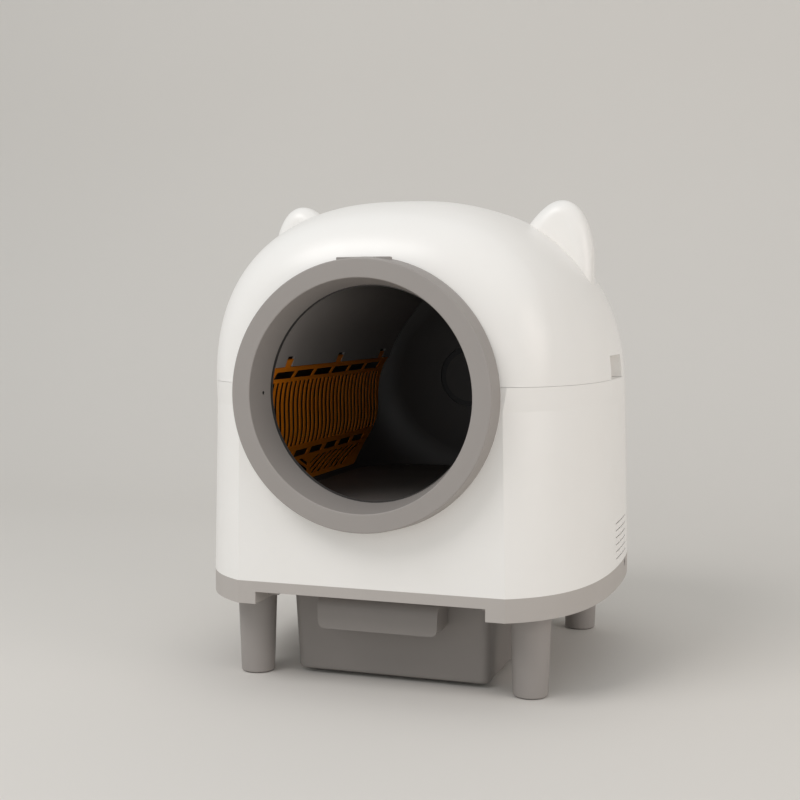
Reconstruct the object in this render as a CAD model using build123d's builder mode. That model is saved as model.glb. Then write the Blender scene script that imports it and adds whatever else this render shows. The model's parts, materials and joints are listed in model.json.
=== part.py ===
from build123d import *
from math import acos, atan2, cos, pi, radians, sin, tan
import os

os.makedirs("parts", exist_ok=True)

# Body: a squarish plan that is widest at PLAN_CENTRE_Y, cut flat at the front, under a dome
BODY_WIDTH = 520.0
FRONT_FLAT_Y = -242.5
PLAN_CENTRE_Y = 16.5
FRONT_REACH = 288.0
REAR_REACH = 256.5
PLAN_POWER = 3.0
CURVE_STEP = 0.01
DOME_TOP_Z = 602.0
SHOULDER_Z = 347.0
SIDE_POWER = 2.36
END_POWER = 3.0
CROWN_SHIFT = 27.0
SIDE_DRAFT = 6.0
DOME_STEPS = 8
CROWN_SHARE = 0.985
SEAM_Z = 375.0
SEAM_GAP = 0.3
SHELL_BOTTOM_Z = 134.0
SHELL_WALL = 3.0
LID_BLEND = 90.0
LIP_GAP = 0.8
LIP_WALL = 2.0
LIP_DEPTH = 7.0
LIP_HEIGHT = 4.0
HUB_CLEAR_X = 45.0

# Base tray: grey skirt and floor
SKIRT_BOTTOM_Z = 106.0
SKIRT_WALL = 3.0
FLOOR_TOP_Z = 131.0
FLOOR_THICKNESS = 3.0
NOTCH_WIDTH = 288.0
NOTCH_TOP_Z = 121.0

# Legs
LEG_FRONT_X = BODY_WIDTH / 2 - 81.0
LEG_FRONT_Y = FRONT_FLAT_Y + 83.5
LEG_REAR_X = BODY_WIDTH / 2 - 85.0
LEG_REAR_Y = PLAN_CENTRE_Y + REAR_REACH - 80.5
LEG_BOTTOM_R = 21.3
LEG_TOP_R = 25.7
LEG_BORE_R = 15.0
LEG_CAP = 26.0
LEG_EDGE = 2.0
PAD_HEIGHT = 1.0
PAD_R = 18.5
PAD_PLUG = 6.0
STUD_R = 4.0
STUD_REACH = 20.0
STUD_HEAD_R = 6.5
STUD_HEAD = 5.5

# Drum and its axis, which runs front to back
AXIS_Z = 363.5
DRUM_R = 205.0
DRUM_WALL = 3.0
MOUTH_R = 131.0
MOUTH_Y = -223.5
CONE_END_Y = -120.0
CONE_FILLET = 40.0
DRUM_BACK_Y = 219.5
BACK_FILLET = 95.0
SPLIT_Y = 124.5
OUTLET_LENGTH = 90.0
OUTLET_WIDTH = 110.0
INSERT_GAP = 0.3
HUB_FLANGE_R = 52.0
HUB_FLANGE = 4.0
HUB_HOLE_R = 45.5
HUB_CAP_R = 37.5
HUB_STUB_R = 12.0
HUB_STUB = 30.0
RUNNING_GAP = 0.05
FREE_GAP = 0.3
FIT_GAP = 0.15

# Open bearing for the hub
BEARING_WALL = 8.0
BEARING_HALF = 30.0
BEARING_DROP = 70.0
BEARING_HEIGHT = 50.0
BEARING_SHELF_DROP = 40.0
BEARING_SCREW_X = 24.5
BEARING_SCREW_INSET = 8.0
BLIND_DEPTH = 2.0

# Ring gear, pinion and motor
GEAR_MODULE = 3.0
GEAR_TEETH = 140
PINION_TEETH = 20
PRESSURE_ANGLE = 20.0
TOOTH_PLAY = 0.06
GEAR_Y = 60.0
GEAR_WIDTH = 14.0
PINION_ANGLE = 40.0
PINION_EXTRA = 1.0
PINION_BOSS_R = 8.0
PINION_BOSS = 5.0
SHAFT_R = 5.0
SHAFT_REACH = 10.0
GEARBOX_R = 30.0
GEARBOX_LENGTH = 32.0
MOTOR_R = 22.0
MOTOR_LENGTH = 54.0
BRACKET_PLATE = 3.0
BRACKET_R = 33.0
BRACKET_FOOT = 30.0

# Support rollers under the front of the drum
ROLLER_R = 20.5
ROLLER_WIDTH = 20.0
ROLLER_ANGLE = 32.0
ROLLER_Y = -94.0
AXLE_R = 4.0
CHEEK = 4.0
CHEEK_GAP = 4.0
CHEEK_R = 12.0
STAND_WIDTH = 52.0
STAND_PLATE = 3.0
SCREW_R = 2.0
SCREW_HEAD_R = 4.0
SCREW_HEAD = 2.5
SCREW_REACH = 5.0

# Entrance ring, funnel, seal, sensors and the release bar
RING_FACE_Y = -273.0
RING_BASE_R = 160.7
RING_FACE_R = 158.0
RING_BORE_R = 135.8
RING_WALL = 3.0
RING_EDGE = 1.5
FUNNEL_END_R = 128.7
FUNNEL_END_Y = -227.5
FUNNEL_HOLE_R = 150.0
LID_RING_GAP = 0.8
SEAL_WIDTH = 6.0
SENSOR_Y = -242.5
SENSOR_R = 2.0
SENSOR_BOX = 10.0
RELEASE_WIDTH = 65.4
RELEASE_DEPTH = 9.0
RELEASE_Y = -249.5
RELEASE_TOP = 160.0
RELEASE_HEIGHT = 9.5
RELEASE_FLANGE = 3.5
RELEASE_EDGE = 1.0

# Grip recesses, vents and power inlet
GRIP_START_Y = -33.0
GRIP_END_Y = 50.0
GRIP_HEIGHT = 30.0
GRIP_DEPTH = 22.0
GRIP_WALL = 2.5
VENT_START_Y = -19.5
VENT_END_Y = 62.5
VENT_BOTTOM_Z = 144.0
VENT_COUNT = 6
VENT_PITCH = 9.0
VENT_HEIGHT = 1.5
INLET_Y = 50.0
INLET_WIDTH = 12.0
INLET_HEIGHT = 11.0
INLET_DEPTH = 14.0
SOCKET_R = 2.75
SOCKET_DEPTH = 8.0
INLET_FIT = 0.3

# Sieve, panel and floor inside the drum, heights from the axis
SIEVE_WALL = 1.6
PANEL_WALL = 3.0
SIEVE_TOP = 28.0
WINDOW_COUNT = 6
WINDOW_HEIGHT = 9.0
WINDOW_BAR = 7.0
LOWER_WINDOW_BAR = 11.0
WINDOW_SLANT = 4.0
UPPER_WINDOW_Z = 13.0
UPPER_WINDOW_Y = -199.0
UPPER_WINDOW_PITCH = 65.0
LOWER_WINDOW_Z = -94.0
LOWER_WINDOW_Y = -158.0
LOWER_WINDOW_PITCH = 54.5
SLOT_COUNT = 28
SLOT_PITCH = 14.2
SLOT_WIDTH = 9.4
SLOT_TOP = 8.0
SLOT_BOTTOM = -77.5
FACET_TOP = -99.0
FACET_BOTTOM = -123.5
FACET_SLOT = 12.0
FACET_PITCH = 22.0
FACET_SLANT = 68.0
FACET_REAR_SLOTS = 8
FACET_FRONT_SLOTS = 5
FACET_SHORT_SLOTS = 2
RIB_Y = -39.0
RIB_HALF = 4.0
TAB_YS = (-175.0, -2.0, 171.0)
TAB_WIDTH = 20.0
TAB_HEIGHT = 9.0
TAB_GAP = 0.5
TAB_NOTCH = 3.5
FLOOR_DROP = 135.0
DRUM_FLOOR_WALL = 3.0
FLOOR_RIB_X = 70.0

# Chute, bin and rails
CHUTE_WIDTH = 170.0
CHUTE_START_Y = -50.0
CHUTE_END_Y = 52.0
CHUTE_WALL = 2.0
CHUTE_FLANGE = 5.0
CHUTE_DROP = 6.0
CHUTE_CLEARANCE = 3.0
BIN_BOTTOM_Z = 6.0
BIN_RIM_Z = 118.0
BIN_TOP_HALF = 129.5
BIN_BOTTOM_HALF = 126.0
BIN_FRONT_TOP_Y = -162.5
BIN_FRONT_BOTTOM_Y = -155.0
BIN_BACK_TOP_Y = 150.0
BIN_BACK_BOTTOM_Y = 142.0
BIN_CORNER_R = 12.0
BIN_WALL = 2.5
BIN_EDGE = 4.0
RIM_HALF = 137.5
RIM_REACH = 4.0
RIM_THICKNESS = 3.0
CHANNEL_WALL = 3.0
CHANNEL_END_Y = 172.0
RAIL_START_Y = -205.0
RAIL_END_Y = 168.0
RAIL_BOTTOM_Z = 110.0
RAIL_TOP_Z = 125.0
RAIL_WALL = 3.0
RAIL_REACH = 13.5
RAIL_SCREW_Z = 119.5
RAIL_SCREW_YS = (-185.0, -80.0, 35.0, 150.0)
SMALL_HEAD_R = 3.2
HANDLE_HALF = 77.5
HANDLE_TAPER = 2.0
HANDLE_FRONT_Y = -208.5
HANDLE_BACK_Y = -150.0
HANDLE_BOTTOM_Z = 74.0
HANDLE_CURVE = 21.0
HANDLE_CORNER = 8.0
HANDLE_WALL = 3.0

# Ears
EAR_CENTRE_Y = 4.5
EAR_THICKNESS = 44.0
EAR_ROUND = 20.0
EAR_TOP_X = 178.0
EAR_TOP_Z = 604.0
EAR_INNER_X = 137.0
EAR_INNER_Z = 572.0
EAR_OUTER_X = 221.0
EAR_OUTER_Z = 545.0
EAR_ROOT_Z = 490.0

# Electronics
BOARD_X = 84.0 - BODY_WIDTH / 2
BOARD_Y = -10.0
BOARD_LENGTH = 100.0
BOARD_WIDTH = 76.0
BOARD_THICKNESS = 1.6
BOARD_PIN_R = 1.6
BOARD_BLOCKS = ((-5, 10, 14, 14, 1.8), (22, 30, 12, 22, 9), (22, -2, 12, 22, 9), (-20, -32, 20, 18, 15))
BOARD_CANS = ((8, -34, 6, 16), (-22, 26, 4, 10), (-12, 38, 4, 10))
STANDOFF_R = 4.0
STANDOFF_HEIGHT = 6.0
STANDOFF_INSET = 6.0
FAN_Y = 15.0
FAN_Z = 166.5
FAN_SIZE = 50.0
FAN_DEPTH = 12.0
FAN_BORE_R = 22.5
FAN_HUB_R = 9.0
FAN_PIN_R = 2.0
FAN_BLADES = 7
FAN_BLADE = 1.4
FAN_TWIST = 3.0
FAN_GAP = 1.0
FAN_BACK = 2.0

# Values worked out from those above
PLAN_FULLNESS = (8 * 2 ** (-1 / PLAN_POWER) - 4) / 3
DRUM_AXIS = Axis((0, 0, AXIS_Z), (0, 1, 0))
FLOOR_BOTTOM_Z = FLOOR_TOP_Z - FLOOR_THICKNESS
LID_BOTTOM_Z = SEAM_Z + SEAM_GAP / 2
LOWER_TOP_Z = SEAM_Z - SEAM_GAP / 2
wall_y = PLAN_CENTRE_Y + REAR_REACH - SHELL_WALL
bearing_shelf_z = AXIS_Z - BEARING_SHELF_DROP
bearing_low_z = AXIS_Z - BEARING_DROP
bearing_holes = [
    (x, z)
    for x in (-BEARING_SCREW_X, BEARING_SCREW_X)
    for z in (bearing_low_z + BEARING_SCREW_INSET, bearing_low_z + BEARING_HEIGHT - BEARING_SCREW_INSET)
]
GEAR_DISTANCE = GEAR_MODULE * (GEAR_TEETH + PINION_TEETH) / 2
PINION_X = GEAR_DISTANCE * sin(radians(PINION_ANGLE))
PINION_Z = AXIS_Z - GEAR_DISTANCE * cos(radians(PINION_ANGLE))
ROLLER_DISTANCE = DRUM_R + ROLLER_R + FREE_GAP
ROLLER_X = ROLLER_DISTANCE * sin(radians(ROLLER_ANGLE))
ROLLER_Z = AXIS_Z - ROLLER_DISTANCE * cos(radians(ROLLER_ANGLE))


def save(node, name):
    """Label a finished piece and write its STEP file."""
    node.label = name
    export_step(node, f"parts/{name}.step")
    print(name, len(node.solids()), "solids", round(node.volume / 1000, 2), "cm3")


def plan_sizes(z, inset):
    """Half width, front reach, rear reach and centre of the body's plan at height z."""
    rise = max(0.0, (z - SHOULDER_Z) / (DOME_TOP_Z - inset - SHOULDER_Z))
    side = (1 - rise**SIDE_POWER) ** (1 / SIDE_POWER)
    end = (1 - rise**END_POWER) ** (1 / END_POWER)
    climb = max(0.0, (min(z, SHOULDER_Z) - SHELL_BOTTOM_Z) / (SHOULDER_Z - SHELL_BOTTOM_Z))
    half_width = (BODY_WIDTH / 2 - inset - SIDE_DRAFT * climb) * side
    centre_y = PLAN_CENTRE_Y - CROWN_SHIFT * rise
    return half_width, (FRONT_REACH - inset) * end, (REAR_REACH - inset) * end, centre_y


def plan_quarters(z, inset):
    """Control points of the plan's four quarter curves, a hair off smooth so that they stay four."""
    half, front, rear, mid = plan_sizes(z, inset)
    full = PLAN_FULLNESS
    side = half - CURVE_STEP
    fore = mid - front + CURVE_STEP
    back = mid + rear - CURVE_STEP
    return (
        ((half, mid), (side, mid + rear * full), (half * full, back), (0, mid + rear)),
        ((0, mid + rear), (-half * full, back), (-side, mid + rear * full), (-half, mid)),
        ((-half, mid), (-side, mid - front * full), (-half * full, fore), (0, mid - front)),
        ((0, mid - front), (half * full, fore), (side, mid - front * full), (half, mid)),
    )


def body_solid(inset, levels, ruled):
    """The body between the first and last of the levels, moved in by inset, cut flat in front."""
    with BuildPart() as body:
        for z in levels:
            with BuildSketch(Plane.XY.offset(z)):
                with BuildLine():
                    for quarter in plan_quarters(z, inset):
                        Bezier(*quarter)
                make_face()
        loft(ruled=ruled)
        split(bisect_by=Plane.XZ.offset(-FRONT_FLAT_Y - inset), keep=Keep.BOTTOM)
    return body.part


def round_front(body, blend):
    """Round the two side edges of an open body's flat front."""
    flat_front = body.faces().sort_by(Axis.Y)[0]
    fillet([edge for edge in flat_front.edges() if abs(edge.center().X) > 1], blend)


def prism(bottom, top, inset, plan_z, blend=0):
    """A straight prism of the plan at plan_z, cut flat in front, its front edges rounded by blend."""
    with BuildPart() as block:
        with BuildSketch(Plane.XY.offset(bottom)):
            with BuildLine():
                for quarter in plan_quarters(plan_z, inset):
                    Bezier(*quarter)
            make_face()
        extrude(amount=top - bottom)
        split(bisect_by=Plane.XZ.offset(-FRONT_FLAT_Y - inset), keep=Keep.BOTTOM)
        if blend:
            round_front(block, blend)
    return block.part


def body_shape(inset):
    """Straight-sided lower body and dome together, moved in by inset."""
    top = DOME_TOP_Z - inset
    levels = [
        SHOULDER_Z + (top - SHOULDER_Z) * sin(pi / 2 * CROWN_SHARE * i / DOME_STEPS)
        for i in range(DOME_STEPS + 1)
    ]
    with BuildPart() as body:
        add(body_solid(inset, (SHELL_BOTTOM_Z, SHOULDER_Z), True))
        add(body_solid(inset, levels, False))
    return body.part


def lid_shape(inset, bottom):
    """The body above bottom, moved in by inset, whose flat front blends softly into the dome."""
    with BuildPart() as lid:
        add(body_shape(inset))
        split(bisect_by=Plane.XY.offset(bottom), keep=Keep.TOP)
        round_front(lid, LID_BLEND - inset)
    return lid.part


def box_between(low, high):
    """A box from its lowest to its highest corner, kept out of any open part."""
    size = [b - a for a, b in zip(low, high)]
    with BuildPart(mode=Mode.PRIVATE) as box:
        with Locations(low):
            Box(*size, align=(Align.MIN, Align.MIN, Align.MIN))
    return box.part


def front_plane(x, y, z):
    """A plane that faces the front, with its own origin: sketch x is X and sketch y is Z."""
    return Plane((x, y, z), x_dir=(1, 0, 0), z_dir=(0, -1, 0))


def rod_y(x, z, radius, start, end):
    """A round bar along Y, kept out of any open part."""
    with BuildPart(mode=Mode.PRIVATE) as rod:
        with BuildSketch(front_plane(x, start, z)):
            Circle(radius)
        extrude(amount=-(end - start))
    return rod.part


def rod_x(y, z, radius, start, end):
    """A round bar along X, kept out of any open part."""
    with BuildPart(mode=Mode.PRIVATE) as rod:
        with BuildSketch(Plane((start, y, z), x_dir=(0, 1, 0), z_dir=(1, 0, 0))):
            Circle(radius)
        extrude(amount=end - start)
    return rod.part


def side_x(y, z, inset):
    """How far out the body's side is at y and z."""
    half, front, rear, mid = plan_sizes(z, inset)
    reach = rear if y > mid else front
    return half * (1 - (abs(y - mid) / reach) ** PLAN_POWER) ** (1 / PLAN_POWER)


# Shells
outer_shape = body_shape(0)
inner_shape = body_shape(SHELL_WALL)
funnel_hole = rod_y(0, AXIS_Z, FUNNEL_HOLE_R, FRONT_FLAT_Y - 1, FRONT_FLAT_Y + SHELL_WALL + LIP_WALL + 4)
grip_top_z = SEAM_Z + GRIP_HEIGHT
grip_floor_x = side_x(PLAN_CENTRE_Y, SEAM_Z, 0) - GRIP_DEPTH
ledge_rim_x = side_x(GRIP_START_Y - GRIP_WALL, grip_top_z, 0) - SHELL_WALL / 2


def inside_body(low, high):
    """The part of a box that lies within the body's outline, kept out of any open part."""
    with BuildPart(mode=Mode.PRIVATE) as block:
        add(box_between(low, high))
        add(outer_shape, mode=Mode.INTERSECT)
    return block.part


with BuildPart() as upper_shell:
    add(lid_shape(0, LID_BOTTOM_Z))
    add(lid_shape(SHELL_WALL, LID_BOTTOM_Z - 1), mode=Mode.SUBTRACT)
    for side in (-1, 1):
        cup_x = sorted((side * (grip_floor_x - GRIP_WALL), side * BODY_WIDTH))
        add(
            inside_body(
                (cup_x[0], GRIP_START_Y - GRIP_WALL, LID_BOTTOM_Z),
                (cup_x[1], GRIP_END_Y + GRIP_WALL, grip_top_z + GRIP_WALL),
            )
        )
        cut_x = sorted((side * grip_floor_x, side * BODY_WIDTH))
        add(
            box_between((cut_x[0], GRIP_START_Y, SEAM_Z - 1), (cut_x[1], GRIP_END_Y, grip_top_z)),
            mode=Mode.SUBTRACT,
        )
    add(funnel_hole, mode=Mode.SUBTRACT)
save(upper_shell.part, "upper_shell")

lip_inset = SHELL_WALL + LIP_GAP
lip_inner = lip_inset + LIP_WALL
with BuildPart() as seam_lip:
    add(prism(SEAM_Z - LIP_DEPTH, LOWER_TOP_Z, SHELL_WALL - 0.5, SEAM_Z))
    add(prism(SEAM_Z - LIP_DEPTH, SEAM_Z + LIP_HEIGHT, lip_inset, SEAM_Z, LID_BLEND - lip_inset))
    add(
        prism(SEAM_Z - LIP_DEPTH - 1, SEAM_Z + LIP_HEIGHT + 1, lip_inner, SEAM_Z, LID_BLEND - lip_inner),
        mode=Mode.SUBTRACT,
    )
    add(
        box_between(
            (-HUB_CLEAR_X, 0, SEAM_Z - 2 * LIP_DEPTH),
            (HUB_CLEAR_X, BODY_WIDTH, SEAM_Z + 2 * LIP_DEPTH),
        ),
        mode=Mode.SUBTRACT,
    )
    add(
        box_between(
            (-BODY_WIDTH, GRIP_START_Y - GRIP_WALL - 1, SEAM_Z - 2 * LIP_DEPTH),
            (BODY_WIDTH, GRIP_END_Y + GRIP_WALL + 1, SEAM_Z + 2 * LIP_DEPTH),
        ),
        mode=Mode.SUBTRACT,
    )

with BuildPart() as lower_shell:
    add(outer_shape)
    add(inner_shape, mode=Mode.SUBTRACT)
    split(bisect_by=Plane.XY.offset(LOWER_TOP_Z), keep=Keep.BOTTOM)
    add(seam_lip.part)
    for side in (-1, 1):
        ledge_x = sorted((side * (grip_floor_x - GRIP_WALL), side * (ledge_rim_x + 1)))
        add(
            box_between(
                (ledge_x[0], GRIP_START_Y - GRIP_WALL, LOWER_TOP_Z - SHELL_WALL),
                (ledge_x[1], GRIP_END_Y + GRIP_WALL, LOWER_TOP_Z),
            )
        )
    add(funnel_hole, mode=Mode.SUBTRACT)
    for i in range(VENT_COUNT):
        z = VENT_BOTTOM_Z + i * VENT_PITCH
        add(
            box_between(
                (BODY_WIDTH / 2 - INLET_DEPTH, VENT_START_Y, z),
                (BODY_WIDTH, VENT_END_Y, z + VENT_HEIGHT),
            ),
            mode=Mode.SUBTRACT,
        )
    for x, z in bearing_holes:
        add(rod_y(x, z, SCREW_R, wall_y - 1, wall_y + BLIND_DEPTH), mode=Mode.SUBTRACT)
save(lower_shell.part, "lower_shell")

# Ears: rounded blocks that stand on the dome
for name, side in (("ear_left", -1), ("ear_right", 1)):
    with BuildPart() as ear:
        with BuildSketch(Plane.XZ.offset(-(EAR_CENTRE_Y - EAR_THICKNESS / 2))):
            with BuildLine():
                Spline(
                    (side * EAR_INNER_X, EAR_INNER_Z),
                    (side * EAR_TOP_X, EAR_TOP_Z),
                    (side * EAR_OUTER_X, EAR_OUTER_Z),
                    tangents=((side * 1, 1.3), (side * 0.15, -1)),
                )
                Polyline(
                    (side * EAR_OUTER_X, EAR_OUTER_Z),
                    (side * EAR_OUTER_X, EAR_ROOT_Z),
                    (side * EAR_INNER_X, EAR_ROOT_Z),
                    (side * EAR_INNER_X, EAR_INNER_Z),
                )
            make_face()
        extrude(amount=-EAR_THICKNESS)
        fillet(ear.edges().filter_by(GeomType.BSPLINE), EAR_ROUND)
        add(outer_shape, mode=Mode.SUBTRACT)
    save(ear.part, name)

# Base tray
inlet_low_z = SHELL_BOTTOM_Z - INLET_HEIGHT
with BuildPart() as base_tray:
    add(prism(SKIRT_BOTTOM_Z, SHELL_BOTTOM_Z, 0, SHELL_BOTTOM_Z))
    add(prism(FLOOR_TOP_Z, SHELL_BOTTOM_Z + 1, SKIRT_WALL, SHELL_BOTTOM_Z), mode=Mode.SUBTRACT)
    add(prism(SKIRT_BOTTOM_Z - 1, FLOOR_BOTTOM_Z, SKIRT_WALL, SHELL_BOTTOM_Z), mode=Mode.SUBTRACT)
    add(
        box_between(
            (-NOTCH_WIDTH / 2, FRONT_FLAT_Y - 1, SKIRT_BOTTOM_Z - 1),
            (NOTCH_WIDTH / 2, FRONT_FLAT_Y + SKIRT_WALL + 1, NOTCH_TOP_Z),
        ),
        mode=Mode.SUBTRACT,
    )
    add(
        box_between(
            (-CHUTE_WIDTH / 2, CHUTE_START_Y, FLOOR_BOTTOM_Z - 1),
            (CHUTE_WIDTH / 2, CHUTE_END_Y, FLOOR_TOP_Z + 1),
        ),
        mode=Mode.SUBTRACT,
    )
    with Locations(
        (LEG_FRONT_X, LEG_FRONT_Y, FLOOR_TOP_Z),
        (-LEG_FRONT_X, LEG_FRONT_Y, FLOOR_TOP_Z),
        (LEG_REAR_X, LEG_REAR_Y, FLOOR_TOP_Z),
        (-LEG_REAR_X, LEG_REAR_Y, FLOOR_TOP_Z),
    ):
        Hole(STUD_R, depth=FLOOR_THICKNESS)
    for side in (-1, 1):
        low_x, high_x = sorted((side * NOTCH_WIDTH / 2, side * (NOTCH_WIDTH / 2 + CHANNEL_WALL)))
        add(
            box_between(
                (low_x, FRONT_FLAT_Y + SKIRT_WALL / 2, SKIRT_BOTTOM_Z),
                (high_x, CHANNEL_END_Y, FLOOR_BOTTOM_Z + 1),
            )
        )
        for y in RAIL_SCREW_YS:
            add(rod_x(y, RAIL_SCREW_Z, SCREW_R, low_x - 1, high_x + 1), mode=Mode.SUBTRACT)
    add(
        box_between(
            (BODY_WIDTH / 2 - INLET_DEPTH, INLET_Y - INLET_WIDTH / 2, inlet_low_z),
            (BODY_WIDTH, INLET_Y + INLET_WIDTH / 2, SHELL_BOTTOM_Z + 1),
        ),
        mode=Mode.SUBTRACT,
    )
save(base_tray.part, "base_tray")

inlet_face_x = side_x(INLET_Y + INLET_WIDTH / 2, SHELL_BOTTOM_Z, 0)
with BuildPart() as power_inlet:
    add(
        box_between(
            (BODY_WIDTH / 2 - INLET_DEPTH, INLET_Y - INLET_WIDTH / 2 + INLET_FIT, inlet_low_z),
            (inlet_face_x, INLET_Y + INLET_WIDTH / 2 - INLET_FIT, SHELL_BOTTOM_Z),
        )
    )
    with Locations(Location((inlet_face_x, INLET_Y, SHELL_BOTTOM_Z - INLET_HEIGHT / 2), (0, 90, 0))):
        Cylinder(SOCKET_R, 2 * SOCKET_DEPTH, mode=Mode.SUBTRACT)
save(power_inlet.part, "power_inlet")

# Legs with their pads and studs
legs = {
    "leg_front_left": (-LEG_FRONT_X, LEG_FRONT_Y),
    "leg_front_right": (LEG_FRONT_X, LEG_FRONT_Y),
    "leg_rear_left": (-LEG_REAR_X, LEG_REAR_Y),
    "leg_rear_right": (LEG_REAR_X, LEG_REAR_Y),
}
leg_height = FLOOR_BOTTOM_Z - PAD_HEIGHT
for name, (x, y) in legs.items():
    with BuildPart(Plane((x, y, PAD_HEIGHT))) as leg:
        Cone(LEG_BOTTOM_R, LEG_TOP_R, leg_height, align=(Align.CENTER, Align.CENTER, Align.MIN))
        fillet(leg.edges().group_by(Axis.Z)[0], LEG_EDGE)
        Cylinder(
            LEG_BORE_R,
            leg_height - LEG_CAP,
            align=(Align.CENTER, Align.CENTER, Align.MIN),
            mode=Mode.SUBTRACT,
        )
        with Locations((0, 0, leg_height)):
            Hole(STUD_R, depth=STUD_REACH)
    save(leg.part, name)

with BuildPart() as leg_pads:
    for x, y in legs.values():
        with Locations((x, y, 0)):
            Cylinder(PAD_R, PAD_HEIGHT, align=(Align.CENTER, Align.CENTER, Align.MIN))
            Cylinder(
                LEG_BORE_R - FREE_GAP, PAD_HEIGHT + PAD_PLUG, align=(Align.CENTER, Align.CENTER, Align.MIN)
            )
save(leg_pads.part, "leg_pads")

with BuildPart() as leg_studs:
    for x, y in legs.values():
        with Locations((x, y, FLOOR_BOTTOM_Z - STUD_REACH)):
            Cylinder(STUD_R, STUD_REACH + FLOOR_THICKNESS, align=(Align.CENTER, Align.CENTER, Align.MIN))
        with BuildSketch(Plane((x, y, FLOOR_TOP_Z))):
            RegularPolygon(STUD_HEAD_R, 6)
        extrude(amount=STUD_HEAD)
save(leg_studs.part, "leg_studs")

# Entrance ring with its funnel
with BuildPart() as entrance_ring:
    with BuildSketch(Plane.YZ):
        with BuildLine():
            Polyline(
                (FRONT_FLAT_Y, AXIS_Z + RING_BASE_R),
                (RING_FACE_Y, AXIS_Z + RING_FACE_R),
                (RING_FACE_Y, AXIS_Z + RING_BORE_R),
                (FUNNEL_END_Y, AXIS_Z + FUNNEL_END_R),
                (FUNNEL_END_Y, AXIS_Z + FUNNEL_END_R + RING_WALL),
                (RING_FACE_Y + RING_WALL, AXIS_Z + RING_BORE_R + RING_WALL),
                (RING_FACE_Y + RING_WALL, AXIS_Z + RING_FACE_R - RING_WALL),
                (FRONT_FLAT_Y, AXIS_Z + RING_BASE_R - RING_WALL),
                close=True,
            )
        make_face()
    revolve(axis=DRUM_AXIS)
    face_edges = entrance_ring.edges().group_by(Axis.Y)[0]
    fillet(face_edges, RING_EDGE)
    add(
        box_between(
            (-BODY_WIDTH / 2, FRONT_FLAT_Y - LID_RING_GAP, SEAM_Z),
            (BODY_WIDTH / 2, FRONT_FLAT_Y + 1, DOME_TOP_Z),
        ).cut(rod_y(0, AXIS_Z, FUNNEL_HOLE_R, FRONT_FLAT_Y - 5, FRONT_FLAT_Y + 5)),
        mode=Mode.SUBTRACT,
    )
    add(
        box_between(
            (
                -RELEASE_WIDTH / 2 - FREE_GAP,
                RELEASE_Y - RELEASE_DEPTH / 2 - FREE_GAP,
                AXIS_Z + RING_FACE_R - RING_WALL - SENSOR_BOX,
            ),
            (RELEASE_WIDTH / 2 + FREE_GAP, RELEASE_Y + RELEASE_DEPTH / 2 + FREE_GAP, DOME_TOP_Z),
        ),
        mode=Mode.SUBTRACT,
    )
    with Locations(Location((0, SENSOR_Y, AXIS_Z), (0, 90, 0))):
        Cylinder(SENSOR_R + FREE_GAP, 2 * (RING_BORE_R + RING_WALL), mode=Mode.SUBTRACT)
save(entrance_ring.part, "entrance_ring")

funnel_slope = (RING_BORE_R - FUNNEL_END_R) / (FUNNEL_END_Y - RING_FACE_Y)
sensor_face = RING_BORE_R - funnel_slope * (SENSOR_Y - RING_FACE_Y)
with BuildPart() as entrance_sensors:
    for side in (-1, 1):
        lens_x = sorted((side * (sensor_face + FREE_GAP), side * (sensor_face + RING_WALL + SENSOR_R)))
        with BuildSketch(Plane.YZ.offset(lens_x[0])):
            with Locations((SENSOR_Y, AXIS_Z)):
                Circle(SENSOR_R)
        extrude(amount=lens_x[1] - lens_x[0])
        box_x = sorted(
            (side * (sensor_face + RING_WALL + SENSOR_R / 2), side * (FUNNEL_HOLE_R - SENSOR_R * 2))
        )
        add(
            box_between(
                (box_x[0], SENSOR_Y - SENSOR_BOX / 2 + SENSOR_R, AXIS_Z - SENSOR_BOX / 2),
                (box_x[1], SENSOR_Y + SENSOR_BOX / 2, AXIS_Z + SENSOR_BOX / 2),
            )
        )
save(entrance_sensors.part, "entrance_sensors")

with BuildPart() as lid_release:
    top_z = AXIS_Z + RELEASE_TOP
    flange_half = RELEASE_WIDTH / 2 + RELEASE_FLANGE
    add(
        box_between(
            (-RELEASE_WIDTH / 2, RELEASE_Y - RELEASE_DEPTH / 2, top_z - RELEASE_HEIGHT),
            (RELEASE_WIDTH / 2, RELEASE_Y + RELEASE_DEPTH / 2, top_z),
        )
    )
    fillet(lid_release.edges().group_by(Axis.Z)[-1], RELEASE_EDGE)
    add(
        box_between(
            (-flange_half, RELEASE_Y - RELEASE_DEPTH / 2, top_z - RELEASE_HEIGHT - RELEASE_FLANGE),
            (flange_half, RELEASE_Y + RELEASE_DEPTH / 2, top_z - RELEASE_HEIGHT + 1),
        )
    )
save(lid_release.part, "lid_release")

with BuildPart() as mouth_seal:
    with BuildSketch(front_plane(0, FUNNEL_END_Y, AXIS_Z)):
        Circle(FUNNEL_END_R + SEAL_WIDTH)
        Circle(FUNNEL_END_R + FREE_GAP, mode=Mode.SUBTRACT)
    extrude(amount=-(MOUTH_Y - FREE_GAP - FUNNEL_END_Y))
save(mouth_seal.part, "mouth_seal")


def drum_profile(inset):
    """Corner points of the drum's outline, moved in by inset, from the mouth to the axis."""
    slope = atan2(DRUM_R - MOUTH_R, CONE_END_Y - MOUTH_Y)
    mouth_r = MOUTH_R - inset / cos(slope)
    cone_end = CONE_END_Y + inset * tan(slope / 2)
    radius = DRUM_R - inset
    back = DRUM_BACK_Y - inset
    return mouth_r, cone_end, radius, back


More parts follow.
